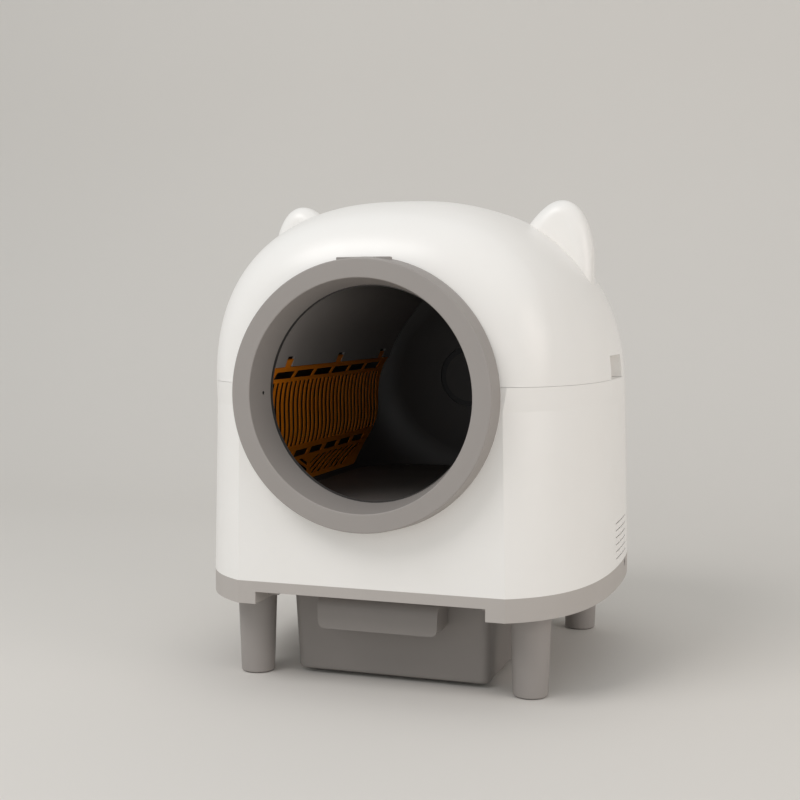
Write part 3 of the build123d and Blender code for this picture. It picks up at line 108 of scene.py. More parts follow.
def scale_for(size_mm):
    """Scale of a noise pattern whose features measure size_mm, in a scene in metres."""
    return 1000.0 / size_mm


# %% [markdown]
# ## Moulded plastics
# Nearly every piece is injection-moulded plastic. The mould's surface decides the look: a polished mould
# gives the white shell its soft gloss, a spark-eroded mould gives the grey parts a fine matte grain. One
# recipe serves them all: the pigment with a very slight cloudiness where the melt flowed, a roughness that
# wanders a little, and a bump for the grain. The real grain is about 0.1 mm and wouldn't show at this
# distance, so it is drawn coarser.


# %% Recipe for moulded plastic
# the Mix node has sockets of the same name for each data type, so the colour ones go by number
MIX_FIRST = 6
MIX_SECOND = 7
MIX_RESULT = 2
GRAIN_STRENGTH = 0.5


def moulded_plastic(name, colour, shade, roughness, ior, grain_mm, grain_height_mm, flow_mm=90.0):
    """A moulded plastic: pigment from colour to shade, and a grain of the given size."""
    material = bpy.data.materials.new(name)
    material.use_nodes = True
    tree = material.node_tree
    shader = tree.nodes["Principled BSDF"]
    place = add_node(tree, "ShaderNodeTexCoord").outputs["Object"]
    flow = add_node(
        tree, "ShaderNodeTexNoise", {"Vector": place, "Scale": scale_for(flow_mm), "Detail": 3.0}
    )
    pigment = add_node(tree, "ShaderNodeMix", {"Factor": flow.outputs["Fac"]}, data_type="RGBA")
    pigment.inputs[MIX_FIRST].default_value = hex_colour(colour)
    pigment.inputs[MIX_SECOND].default_value = hex_colour(shade)
    tree.links.new(pigment.outputs[MIX_RESULT], shader.inputs["Base Color"])
    gloss = add_node(
        tree,
        "ShaderNodeMapRange",
        {
            "Value": flow.outputs["Fac"],
            "From Min": 0.3,
            "From Max": 0.7,
            "To Min": roughness * 0.93,
            "To Max": roughness * 1.07,
        },
    )
    tree.links.new(gloss.outputs[0], shader.inputs["Roughness"])
    grain = add_node(
        tree, "ShaderNodeTexNoise", {"Vector": place, "Scale": scale_for(grain_mm), "Detail": 2.0}
    )
    bump = add_node(
        tree,
        "ShaderNodeBump",
        {"Height": grain.outputs["Fac"], "Strength": GRAIN_STRENGTH, "Distance": grain_height_mm / 1000},
    )
    tree.links.new(bump.outputs[0], shader.inputs["Normal"])
    shader.inputs["IOR"].default_value = ior
    return material


white_abs = moulded_plastic("polished_white_abs", "#F6F4F1", "#F1EEEA", 0.34, 1.53, 2.5, 0.012)
grey_pp = moulded_plastic("grained_grey_polypropylene", "#9F9995", "#98928E", 0.52, 1.49, 1.4, 0.05)
charcoal_pp = moulded_plastic("grained_charcoal_polypropylene", "#433F3D", "#3C3937", 0.46, 1.49, 1.6, 0.05)
orange_pp = moulded_plastic("grained_orange_polypropylene", "#F08A12", "#E67F0C", 0.45, 1.49, 1.6, 0.04)
nylon = moulded_plastic("natural_nylon", "#DAD5C8", "#D0CABB", 0.42, 1.53, 1.5, 0.03)
black_abs = moulded_plastic("grained_black_abs", "#232325", "#1D1D1F", 0.5, 1.53, 1.4, 0.04)
silicone = moulded_plastic("moulded_silicone_rubber", "#3A3A3B", "#333334", 0.72, 1.41, 1.2, 0.05)
grey_tpe = moulded_plastic("soft_grey_thermoplastic_rubber", "#7C7672", "#75706C", 0.7, 1.45, 1.2, 0.04)
# the sieve panel is the drum's charcoal painted lighter: painted light, for the light that falls on it
# through the entrance
panel_painted_light_pp = moulded_plastic("charcoal_polypropylene_painted_light_panel", "#A39D99", "#9B9592", 0.5, 1.49, 1.6, 0.05)
bin_pp = moulded_plastic("grained_dark_grey_polypropylene", "#8C8682", "#85807C", 0.52, 1.49, 1.4, 0.05)
tray_pp = moulded_plastic("grained_pale_grey_polypropylene", "#BAB4AF", "#B3ADA8", 0.52, 1.49, 1.4, 0.05)
# the drum's floor is the drum's charcoal painted lighter: painted light, for the light that falls on it
# through the entrance
floor_painted_light_pp = moulded_plastic("charcoal_polypropylene_painted_light_floor", "#6A6562", "#625E5B", 0.55, 1.49, 1.6, 0.05)
board_mask = moulded_plastic("solder_mask_on_fibreglass", "#17603A", "#125232", 0.35, 1.55, 0.9, 0.02)
smoked_pc = moulded_plastic("smoked_polycarbonate", "#17171A", "#141417", 0.12, 1.585, 3.0, 0.004)
print("shell, trim and drum plastics:", white_abs.name, grey_pp.name, charcoal_pp.name)

# %% [markdown]
# ## Metals
# The axles, screws and brackets are zinc-plated steel, and the motor can is drawn steel sheet. A metal
# takes its colour from its reflection, so it is fully metallic. Plating has a faint mottle, and a drawn
# can has fine lines along its length, made with noise stretched along one axis.


# %% Recipe for plated and drawn steel
def bare_metal(name, colour, shade, roughness, grain_mm, stretch=(1.0, 1.0, 1.0)):
    """A metal with a grain of the given size, stretched along an axis with a small factor."""
    material = bpy.data.materials.new(name)
    material.use_nodes = True
    tree = material.node_tree
    shader = tree.nodes["Principled BSDF"]
    shader.inputs["Metallic"].default_value = 1.0
    place = add_node(tree, "ShaderNodeTexCoord").outputs["Object"]
    drawn = add_node(tree, "ShaderNodeMapping", {"Vector": place, "Scale": stretch})
    grain = add_node(
        tree,
        "ShaderNodeTexNoise",
        {"Vector": drawn.outputs[0], "Scale": scale_for(grain_mm), "Detail": 3.0},
    )
    tint = add_node(tree, "ShaderNodeMix", {"Factor": grain.outputs["Fac"]}, data_type="RGBA")
    tint.inputs[MIX_FIRST].default_value = hex_colour(colour)
    tint.inputs[MIX_SECOND].default_value = hex_colour(shade)
    tree.links.new(tint.outputs[MIX_RESULT], shader.inputs["Base Color"])
    gloss = add_node(
        tree,
        "ShaderNodeMapRange",
        {"Value": grain.outputs["Fac"], "To Min": roughness * 0.8, "To Max": roughness * 1.2},
    )
    tree.links.new(gloss.outputs[0], shader.inputs["Roughness"])
    return material


zinc_steel = bare_metal("zinc_plated_steel", "#C9CACB", "#BDBFC2", 0.34, 3.0)
drawn_steel = bare_metal("drawn_motor_can_steel", "#B4B5B8", "#A6A8AB", 0.3, 1.5, (1.0, 0.04, 1.0))
print("metals:", zinc_steel.name, drawn_steel.name)

# %% [markdown]
# ## Dress the CAD pieces
# A CAD piece whose shape is right stays, and only its material is exchanged. The record names a slot for
# each piece, and one table turns slots into the finishes above. A second table is for the pieces whose
# shade differs from their slot's, such as the bin, which is darker than the ring. The sieve panel and the
# drum's floor are the drum's charcoal painted lighter: painted light, for the light that falls into the
# drum.

# %% Materials by slot
SLOT_FINISH = {
    "white_shell": white_abs,
    "grey_trim": grey_pp,
    "charcoal_drum": charcoal_pp,
    "orange_sieve": orange_pp,
    "soft_rubber": silicone,
    "foot_rubber": grey_tpe,
    "plated_steel": zinc_steel,
    "motor_metal": drawn_steel,
    "gear_nylon": nylon,
    "frame_black": black_abs,
    "board_green": board_mask,
    "dark_lens": smoked_pc,
}
NODE_FINISH = {
    "sieve_panel": panel_painted_light_pp,
    "waste_bin": bin_pp,
    "base_tray": tray_pp,
    "drum_hub": black_abs,
    "drum_floor": floor_painted_light_pp,
}
slot_of = {row["node"]: row["material_slot"] for row in frame["record"]["subparts"]}
for name, piece in nodes.items():
    piece.data.materials.clear()
    piece.data.materials.append(NODE_FINISH.get(name, SLOT_FINISH[slot_of[name]]))
print("dressed:", len(nodes))

# %% [markdown]
# ## Building blocks for small pieces
# A lathe function turns an outline of radius and height round an axis, as a real lathe or a mould with a
# round core would, and serves screws, rollers, the motor and the capacitors. A second function makes a
# block with rounded edges, and a third makes an object of a mesh, smooths it, and hides the CAD piece it
# stands for. The places come from the CAD pieces' own boxes, so that nothing has to be fitted by eye.


# %% Turned shapes and blocks
def lathe(mesh, outline, segments=32):
    """Turn an outline of (radius, height) pairs round Z; radius 0 closes it."""
    rings = []
    for radius, height in outline:
        if radius == 0:
            rings.append([mesh.verts.new((0, 0, height))])
            continue
        turns = [2 * math.pi * i / segments for i in range(segments)]
        rings.append([mesh.verts.new((radius * math.cos(t), radius * math.sin(t), height)) for t in turns])
    for low, high in zip(rings, rings[1:]):
        for i in range(segments):
            j = (i + 1) % segments
            corners = [low[i % len(low)], low[j % len(low)], high[j % len(high)], high[i % len(high)]]
            mesh.faces.new(list(dict.fromkeys(corners)))


def block(mesh, low, high, rounding=0.0):
    """A block between two corners, in metres, with its edges rounded."""
    made = bmesh.ops.create_cube(mesh, size=1.0)["verts"]
    size = Vector(high) - Vector(low)
    bmesh.ops.scale(mesh, vec=size, verts=made)
    bmesh.ops.translate(mesh, vec=(Vector(low) + Vector(high)) / 2, verts=made)
    if rounding:
        edges = list({edge for vert in made for edge in vert.link_edges})
        bmesh.ops.bevel(mesh, geom=edges, offset=rounding, segments=2, profile=0.5, affect="EDGES")


# %% From a bmesh to a piece of the box
CREASE_DEGREES = 32.0


def turned(mesh, matrix):
    """Move and turn a whole bmesh."""
    bmesh.ops.transform(mesh, matrix=matrix, verts=mesh.verts)
    return mesh


def finished_mesh(name, mesh):
    """Turn a bmesh into mesh data with outward faces."""
    bmesh.ops.recalc_face_normals(mesh, faces=mesh.faces)
    data = bpy.data.meshes.new(name)
    mesh.to_mesh(data)
    mesh.free()
    return data


def absorb(whole, name, part):
    """Add a small bmesh to a larger one."""
    data = finished_mesh(name, part)
    whole.from_mesh(data)
    bpy.data.meshes.remove(data)


def around(radius, count, first_degrees, height):
    """Places spread evenly on a circle round Z."""
    turns = [math.radians(first_degrees + 360 / count * i) for i in range(count)]
    return [Matrix.Translation((radius * math.cos(t), radius * math.sin(t), height)) for t in turns]


def make_piece(name, data, material, body, stands_for=None):
    """Make an object that rides on a body, and hide the CAD piece that it stands for."""
    data.materials.clear()
    data.materials.append(material)
    data.polygons.foreach_set("use_smooth", [True] * len(data.polygons))
    data.set_sharp_from_angle(angle=math.radians(CREASE_DEGREES))
    piece = bpy.data.objects.new(name, data)
    bpy.context.scene.collection.objects.link(piece)
    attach(piece, body)
    if stands_for:
        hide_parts(stands_for)
    return piece


# %% Cutting one shape from another
def carved(data, cutter):
    """The mesh data with a cutter's bmesh taken away from it."""
    blank = bpy.data.objects.new("blank", data)
    tool = bpy.data.objects.new("tool", finished_mesh("tool", cutter))
    for item in (blank, tool):
        bpy.context.scene.collection.objects.link(item)
    cut = blank.modifiers.new("cut", "BOOLEAN")
    cut.operation = "DIFFERENCE"
    cut.solver = "EXACT"
    cut.object = tool
    graph = bpy.context.evaluated_depsgraph_get()
    result = bpy.data.meshes.new_from_object(blank.evaluated_get(graph))
    for item in (blank, tool):
        bpy.data.objects.remove(item)
    return result


# %% Where the separate solids of a CAD piece are
SAME_POINT_DIGITS = 7


def islands(node):
    """Lowest and highest corner of each separate solid in a CAD piece, in metres."""
    data = nodes[node].data
    parent = list(range(len(data.vertices)))

    def root(i):
        while parent[i] != i:
            parent[i] = parent[parent[i]]
            i = parent[i]
        return i

    places = {}
    for i, vert in enumerate(data.vertices):
        key = tuple(round(c, SAME_POINT_DIGITS) for c in vert.co)
        parent[i] = places.setdefault(key, i)
    for edge in data.edges:
        a, b = (root(i) for i in edge.vertices)
        parent[a] = b
    groups = {}
    for i, vert in enumerate(data.vertices):
        groups.setdefault(root(i), []).append(vert.co)
    corners = []
    for points in groups.values():
        low = Vector([min(p[k] for p in points) for k in range(3)])
        high = Vector([max(p[k] for p in points) for k in range(3)])
        corners.append((low, high))
    return corners


print("screws in the model:", sum(len(islands(n)) for n in nodes if n.endswith("_screws")))

# %% [markdown]
# ## Screws with a cross recess
# The CAD screws are plain pins with a disc for a head. A real pan-head screw has a domed head with a cross
# recess and a threaded shank. The head and shank are turned on the lathe, with the thread as ridges, since
# a true helix wouldn't be told apart at this size. The recess is cut with two crossed blades that narrow
# downwards, as the driver's tip does. Each CAD screw gives its own place and length.

# %% One screw
THREAD_PITCH = 0.0008
THREAD_DEPTH = 0.0003
SHANK_RADIUS = 0.002
TIP_SHARE = 0.5
HEAD_HEIGHT = 0.0025
# shares of the head's radius and of its height
UNDERSIDE_SHARE = 0.96
RIM_SHARE = 0.12
DOME_FLAT = 0.45
DOME_FOOT = 0.35
DOME_STEPS = 6
DOME_STEP_DEGREES = 15
# the driver's blades, as shares of the same
BLADE_TIP = 0.34
BLADE_MOUTH = 0.72
BLADE_DEPTH = 1.1
BLADE_THINNESS = 0.3


def screw_data(head_radius, length):
    """A pan-head screw that stands on its tip at the origin, with its head up."""
    core = SHANK_RADIUS - THREAD_DEPTH
    head_z = length - HEAD_HEIGHT
    z = SHANK_RADIUS * TIP_SHARE
    outline = [(0, 0), (SHANK_RADIUS * TIP_SHARE, 0), (core, z)]
    while z + THREAD_PITCH < head_z:
        outline.append((SHANK_RADIUS, z + THREAD_PITCH / 2))
        outline.append((core, z + THREAD_PITCH))
        z += THREAD_PITCH
    outline.append((core, head_z))
    outline.append((head_radius * UNDERSIDE_SHARE, head_z))
    outline.append((head_radius, head_z + HEAD_HEIGHT * RIM_SHARE))
    for i in range(DOME_STEPS):
        turn = math.radians(DOME_STEP_DEGREES * (i + 1))
        across = head_radius * (DOME_FLAT + (1 - DOME_FLAT) * math.cos(turn))
        rise = HEAD_HEIGHT * (DOME_FOOT + (1 - DOME_FOOT) * math.sin(turn))
        outline.append((across, head_z + rise))
    outline.append((0, length))
    mesh = bmesh.new()
    lathe(mesh, outline, 28)
    data = finished_mesh("screw", mesh)
    # the blades are cut one after the other, because an exact cut fails with a cutter that crosses itself
    for turn in (0, 90):
        blade = bmesh.new()
        bmesh.ops.create_cone(
            blade,
            cap_ends=True,
            segments=4,
            radius1=head_radius * BLADE_TIP,
            radius2=head_radius * BLADE_MOUTH,
            depth=HEAD_HEIGHT * BLADE_DEPTH,
        )
        turned(blade, Matrix.Rotation(math.radians(45), 4, "Z"))
        turned(blade, Matrix.Diagonal((1.0, BLADE_THINNESS, 1.0, 1.0)))
        turned(blade, Matrix.Rotation(math.radians(turn), 4, "Z"))
        turned(blade, Matrix.Translation((0, 0, length)))
        data = carved(data, blade)
    return data


# %% Every screw in its place
# each screw of a group stops at its own turn, as driven screws do
SCREW_TURN_DEGREES = 23.0


def dress_screws(node, body, axis, head_at_high):
    """Put a screw in place of each solid of a CAD node, along axis 0, 1 or 2."""
    whole = bmesh.new()
    for count, (low, high) in enumerate(islands(node)):
        size = high - low
        data = screw_data(size[(axis + 1) % 3] / 2, size[axis])
        centre = (low + high) / 2
        start = centre.copy()
        # screws along X stand on both sides of the box, with their heads towards the middle
        heads_up = head_at_high if axis != 0 else (centre.x < 0)
        start[axis] = low[axis] if heads_up else high[axis]
        direction = Vector([0, 0, 0])
        direction[axis] = 1.0 if heads_up else -1.0
        turn = direction.to_track_quat("Z", "Y").to_matrix().to_4x4()
        spin = Matrix.Rotation(math.radians(SCREW_TURN_DEGREES * count), 4, "Z")
        data.transform(Matrix.Translation(start) @ turn @ spin)
        whole.from_mesh(data)
    data = finished_mesh(node, whole)
    return make_piece(f"{node}_detailed", data, zinc_steel, body, node)


dress_screws("stand_screws", "base", 2, True)
dress_screws("bearing_screws", "base", 1, False)
dress_screws("rail_screws", "base", 0, True)
dress_screws("motor_screws", "base", 1, False)
print("screws dressed")

# %% [markdown]
# ## Support rollers
# Each roller is a nylon wheel with a rubber tyre, so that the drum runs quietly. The wheel has a hub, five
# spokes and a rim, the tyre two grooves and bevelled shoulders. Wheel and tyre are separate pieces, because
# they are different materials. Both are turned on the lathe, and the spokes are blocks between hub and rim.

# %% Sizes of a roller
TYRE_THICKNESS = 0.004
TYRE_EDGE = 0.001
GROOVE_HALF = 0.0012
GROOVE_FLOOR_HALF = 0.0006
GROOVE_DEPTH = 0.0012
AXLE_BORE = 0.00405
HUB_WALL = 0.0035
RIM_THICKNESS = 0.003
# the rim stays this much clear of the tyre's inside, so that their faces don't coincide
RIM_FIT = 0.00005
WHEEL_EDGE = 0.0005
SPOKE_COUNT = 5
SPOKE_HALF = 0.0012
SPOKE_EDGE = 0.0004
# a spoke starts inside the hub, at this share of its wall, and stops this far short of the tyre
SPOKE_ROOT_SHARE = 0.6
SPOKE_END = 0.0024
WEB_INSET = 0.004
MERGE_DISTANCE = 1e-7


def ring_outline(inner, outer, low, high, edge):
    """A closed ring's outline with bevelled edges, from its inner bottom round to the start."""
    return [
        (inner, low + edge),
        (inner + edge, low),
        (outer - edge, low),
        (outer, low + edge),
        (outer, high - edge),
        (outer - edge, high),
        (inner + edge, high),
        (inner, high - edge),
        (inner, low + edge),
    ]


# %% Rollers
for side in ("left", "right"):
    node = f"support_roller_{side}"
    low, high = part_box(node)
    middle = (low + high) / 2
    radius = (high.x - low.x) / 2
    half = (high.y - low.y) / 2
    rim = radius - TYRE_THICKNESS
    to_place = Matrix.Translation(middle) @ Matrix.Rotation(math.radians(90), 4, "X")

    tyre = bmesh.new()
    outline = [(rim, -half), (radius - TYRE_EDGE, -half), (radius, -half + TYRE_EDGE)]
    for groove in (-half / 3, half / 3):
        outline += [
            (radius, groove - GROOVE_HALF),
            (radius - GROOVE_DEPTH, groove - GROOVE_FLOOR_HALF),
            (radius - GROOVE_DEPTH, groove + GROOVE_FLOOR_HALF),
            (radius, groove + GROOVE_HALF),
        ]
    outline += [(radius, half - TYRE_EDGE), (radius - TYRE_EDGE, half), (rim, half), (rim, -half)]
    lathe(tyre, outline, 72)
    bmesh.ops.remove_doubles(tyre, verts=tyre.verts, dist=MERGE_DISTANCE)
    tyre_data = finished_mesh("tyre", turned(tyre, to_place))
    make_piece(f"roller_tyre_{side}", tyre_data, silicone, f"roller_{side}", node)

    wheel = bmesh.new()
    lathe(wheel, ring_outline(AXLE_BORE, AXLE_BORE + HUB_WALL, -half, half, WHEEL_EDGE), 40)
    lathe(wheel, ring_outline(rim - RIM_THICKNESS, rim - RIM_FIT, -half, half, WHEEL_EDGE), 72)
    for i in range(SPOKE_COUNT):
        spoke = bmesh.new()
        root_corner = (AXLE_BORE + HUB_WALL * SPOKE_ROOT_SHARE, -SPOKE_HALF, -half + WEB_INSET)
        block(spoke, root_corner, (rim - SPOKE_END, SPOKE_HALF, half - WEB_INSET), SPOKE_EDGE)
        turned(spoke, Matrix.Rotation(math.radians(360 / SPOKE_COUNT * i), 4, "Z"))
        absorb(wheel, "spoke", spoke)
    bmesh.ops.remove_doubles(wheel, verts=wheel.verts, dist=MERGE_DISTANCE)
    wheel_data = finished_mesh("wheel", turned(wheel, to_place))
    make_piece(f"roller_wheel_{side}", wheel_data, nylon, f"roller_{side}")
print("rollers dressed")

# %% [markdown]
# ## Drive motor
# A geared motor has a die-cast gearbox with a cover, held by small screws round its edge, and a drawn steel
# can with a plastic end bell, two brass terminals and cooling slots. The gearbox and can are lathe forms
# along the motor's axis, the slots are cut, and the terminals are bent strips made of blocks.

# %% Motor's metals, place and gearbox
brass = bare_metal("tinned_brass", "#C9B27A", "#BBA366", 0.32, 1.2)
die_cast = bare_metal("die_cast_zinc", "#9FA1A3", "#909295", 0.5, 1.8)
low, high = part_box("drive_motor")
gearbox_radius = (high.x - low.x) / 2
motor_centre = Vector(((low.x + high.x) / 2, low.y, (low.z + high.z) / 2))
can_end = high.y - low.y
along_y = Matrix.Translation(motor_centre) @ Matrix.Rotation(math.radians(-90), 4, "X")

GEARBOX_LENGTH = 0.032
GEARBOX_EDGE = 0.0006
# the shaft ends in this hole, which is a little wider and deeper than the shaft
SHAFT_HOLE = 0.00505
SHAFT_DEPTH = 0.0103
# the seam between housing and cover is a shallow groove round the gearbox
SEAM_LOW = 0.022
SEAM_HIGH = 0.0236
SEAM_SLOPE = 0.0004
SEAM_DEPTH = 0.0008
COVER_EDGE = 0.001
COVER_SCREWS = 6
COVER_SCREW_CIRCLE = 0.0262
COVER_SCREW_HEAD = [(0, 0), (0.0022, 0), (0.0024, 0.0004), (0.0024, 0.0014), (0.0018, 0.0019), (0, 0.0019)]
# the motor's own screws, which hold it on its bracket, go into these four holes
MOTOR_HOLES = 4
MOTOR_HOLE_CIRCLE = 0.021
MOTOR_HOLE_RADIUS = 0.002
MOTOR_HOLE_DEPTH = 0.005
CUT_PAST = 0.001
# the cover's screw heads start this much inside the cover
SUNK = 0.0001

gearbox = bmesh.new()
gearbox_outline = [
    (0, SHAFT_DEPTH),
    (SHAFT_HOLE, SHAFT_DEPTH),
    (SHAFT_HOLE, 0),
    (gearbox_radius - GEARBOX_EDGE, 0),
    (gearbox_radius, GEARBOX_EDGE),
    (gearbox_radius, SEAM_LOW),
    (gearbox_radius - SEAM_DEPTH, SEAM_LOW + SEAM_SLOPE),
    (gearbox_radius - SEAM_DEPTH, SEAM_HIGH - SEAM_SLOPE),
    (gearbox_radius, SEAM_HIGH),
    (gearbox_radius, GEARBOX_LENGTH - COVER_EDGE),
    (gearbox_radius - COVER_EDGE, GEARBOX_LENGTH),
    (0, GEARBOX_LENGTH),
]
lathe(gearbox, gearbox_outline, 72)
for place in around(COVER_SCREW_CIRCLE, COVER_SCREWS, 15, GEARBOX_LENGTH - SUNK):
    screw_head = bmesh.new()
    lathe(screw_head, COVER_SCREW_HEAD, 20)
    absorb(gearbox, "cover_screw", turned(screw_head, place))
holes = bmesh.new()
for place in around(MOTOR_HOLE_CIRCLE, MOTOR_HOLES, 45, 0):
    hole = bmesh.new()
    reach = ((0, -CUT_PAST), (MOTOR_HOLE_RADIUS, -CUT_PAST))
    lathe(hole, [*reach, (MOTOR_HOLE_RADIUS, MOTOR_HOLE_DEPTH), (0, MOTOR_HOLE_DEPTH)], 24)
    absorb(holes, "hole", turned(hole, place))
gearbox_data = carved(finished_mesh("gearbox", gearbox), holes)
gearbox_data.transform(along_y)
make_piece("motor_gearbox", gearbox_data, die_cast, "base", "drive_motor")
print("gearbox radius:", round(gearbox_radius, 4), "m")

# %% Motor's can with its cooling slots
CAN_RADIUS = 0.022
CAN_SUNK = 0.0005
CAN_STOP = 0.012
CAN_SHOULDER_STOP = 0.0116
CAN_SHOULDER = 0.0005
SLOT_HALF_DEPTH = 0.002
SLOT_HALF_WIDTH = 0.005
# the slots run between these distances from the motor's rear end
SLOT_FAR = 0.03
SLOT_NEAR = 0.018
SLOT_ROUNDING = 0.001

can = bmesh.new()
can_outline = [
    (0, GEARBOX_LENGTH - CAN_SUNK),
    (CAN_RADIUS, GEARBOX_LENGTH - CAN_SUNK),
    (CAN_RADIUS, can_end - CAN_STOP),
    (CAN_RADIUS - CAN_SHOULDER, can_end - CAN_SHOULDER_STOP),
    (0, can_end - CAN_SHOULDER_STOP),
]
lathe(can, can_outline, 64)
slots = bmesh.new()
for turn in (0, 180):
    slot = bmesh.new()
    low_corner = (CAN_RADIUS - SLOT_HALF_DEPTH, -SLOT_HALF_WIDTH, can_end - SLOT_FAR)
    high_corner = (CAN_RADIUS + SLOT_HALF_DEPTH, SLOT_HALF_WIDTH, can_end - SLOT_NEAR)
    block(slot, low_corner, high_corner, SLOT_ROUNDING)
    absorb(slots, "slot", turned(slot, Matrix.Rotation(math.radians(turn), 4, "Z")))
can_data = carved(finished_mesh("can", can), slots)
can_data.transform(along_y)
make_piece("motor_can", can_data, drawn_steel, "base")
print("motor length:", round(can_end, 4), "m")

# %% Motor's end bell and terminals
BELL_START = 0.0117
BELL_SHOULDER = 0.006
BELL_FACE = 0.003
BELL_STEP = 0.0005
BELL_INSET = 0.0006
BELL_SLOPE = 0.003
# the rear bearing's housing stands out of the bell, and narrows from its foot to its face
BEARING_FOOT = 0.007
BEARING_TOP = 0.0065
BEARING_FACE = 0.006
TERMINAL_X = 0.012
TERMINAL_HALF_WIDTH = 0.0024
TERMINAL_HALF_THICKNESS = 0.0004
TERMINAL_BEND = 0.0042
TERMINAL_EDGE = 0.00015
# the upright strip and the bent strip run between these distances from the motor's rear end
UPRIGHT_FAR = 0.0035
UPRIGHT_NEAR = 0.0002
BENT_FAR = 0.0009
BENT_NEAR = 0.0001

bell = bmesh.new()
bell_outline = [
    (0, can_end - BELL_START),
    (CAN_RADIUS - BELL_INSET, can_end - BELL_START),
    (CAN_RADIUS - BELL_INSET, can_end - BELL_SHOULDER),
    (CAN_RADIUS - BELL_SLOPE, can_end - BELL_FACE),
    (BEARING_FOOT, can_end - BELL_FACE),
    (BEARING_TOP, can_end - BELL_STEP),
    (BEARING_FACE, can_end),
    (0, can_end),
]
lathe(bell, bell_outline, 64)
bell_data = finished_mesh("bell", turned(bell, along_y))
make_piece("motor_end_bell", bell_data, black_abs, "base")
terminals = bmesh.new()
for x in (-TERMINAL_X, TERMINAL_X):
    left = x - TERMINAL_HALF_WIDTH
    right = x + TERMINAL_HALF_WIDTH
    for far, near, reach in (
        (UPRIGHT_FAR, UPRIGHT_NEAR, TERMINAL_HALF_THICKNESS),
        (BENT_FAR, BENT_NEAR, TERMINAL_BEND),
    ):
        low_corner = (left, -TERMINAL_HALF_THICKNESS, can_end - far)
        block(terminals, low_corner, (right, reach, can_end - near), TERMINAL_EDGE)
terminals_data = finished_mesh("terminals", turned(terminals, along_y))
make_piece("motor_terminals", terminals_data, brass, "base")
print("motor dressed")

# %% [markdown]
# ## Control board
# The board carries a microcontroller, a motor driver with a cooling tab, two relays, electrolytic
# capacitors, small resistors and the sockets that the motor, fan and sensors plug into. Everything stands
# within the CAD board's box, and each kind of part has its own material: black epoxy, ivory nylon,
# aluminium, tinned pins. The sockets are hollow with pins inside, as the real ones are.

# %% Board's plate and its corner holes
epoxy = moulded_plastic("matte_black_epoxy", "#242425", "#1F1F20", 0.48, 1.55, 0.5, 0.01)
socket_nylon = moulded_plastic("ivory_connector_nylon", "#E9E4D6", "#E2DCCD", 0.4, 1.53, 0.8, 0.01)
foil = bare_metal("aluminium_capacitor_can", "#C4C6C9", "#B6B9BD", 0.3, 0.8)
tin = bare_metal("tinned_solder", "#C7C8C6", "#B9BAB8", 0.28, 0.6)

BOARD_THICKNESS = 0.0016
BOARD_EDGE = 0.0001
PIN_HOLE = 0.0016
CORNER_INSET = 0.006
# the holes are cut from well under the plate to a little above it
CUT_BELOW = -0.003
CUT_ABOVE = 0.001

low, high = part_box("control_board")
board_top = low.z + BOARD_THICKNESS
board_half = Vector(((high.x - low.x) / 2, (high.y - low.y) / 2))
board_place = Matrix.Translation(((low.x + high.x) / 2, (low.y + high.y) / 2, board_top))
plate = bmesh.new()
block(plate, (-board_half.x, -board_half.y, -BOARD_THICKNESS), (board_half.x, board_half.y, 0), BOARD_EDGE)
corner_holes = bmesh.new()
for dx in (-1, 1):
    for dy in (-1, 1):
        hole = bmesh.new()
        lathe(hole, [(0, CUT_BELOW), (PIN_HOLE, CUT_BELOW), (PIN_HOLE, CUT_ABOVE), (0, CUT_ABOVE)], 20)
        corner = (dx * (board_half.x - CORNER_INSET), dy * (board_half.y - CORNER_INSET), 0)
        absorb(corner_holes, "hole", turned(hole, Matrix.Translation(corner)))
plate_data = carved(finished_mesh("plate", plate), corner_holes)
plate_data.transform(board_place)
make_piece("board_plate", plate_data, board_mask, "base", "control_board")
print("board:", [round(2 * v, 4) for v in board_half], "m")

# %% Chips, relays, motor driver and resistors
# relays, driver, capacitors and sockets stand this little above the board, on their solder
SOLDER_LIFT = 0.0001
# each chip: x and y of its middle, width, length, height, and pins on each side
CHIPS = (
    (-0.005, 0.010, 0.014, 0.014, 0.0018, 11),
    (0.004, -0.012, 0.008, 0.010, 0.0016, 6),
    (-0.022, 0.006, 0.006, 0.009, 0.0016, 5),
    (0.006, 0.034, 0.006, 0.008, 0.0015, 4),
)
CHIP_LIFT = 0.0002
CHIP_EDGE = 0.0002
PIN_REACH = 0.0012
PIN_HALF = 0.0002
PIN_HEIGHT = 0.0005
RELAY_YS = (-0.002, 0.030)
RELAY_X = (0.016, 0.028)
RELAY_HALF_LENGTH = 0.011
RELAY_HEIGHT = 0.009
RELAY_EDGE = 0.0005
DRIVER_LOW = (-0.028, -0.022, SOLDER_LIFT)
DRIVER_HIGH = (-0.014, -0.018, 0.015)
DRIVER_EDGE = 0.0004
RESISTORS = 26
RESISTOR_XS = (-0.030, 0.012)
RESISTOR_ROWS = (-0.004, 0.0205, 0.0225, -0.0205, 0.0435)
# half the length and width and the height of a resistor's metal ends, and of its black body between them
RESISTOR_ENDS = (0.001, 0.0006, 0.0005)
RESISTOR_BODY = (0.0007, 0.00062, 0.00056)

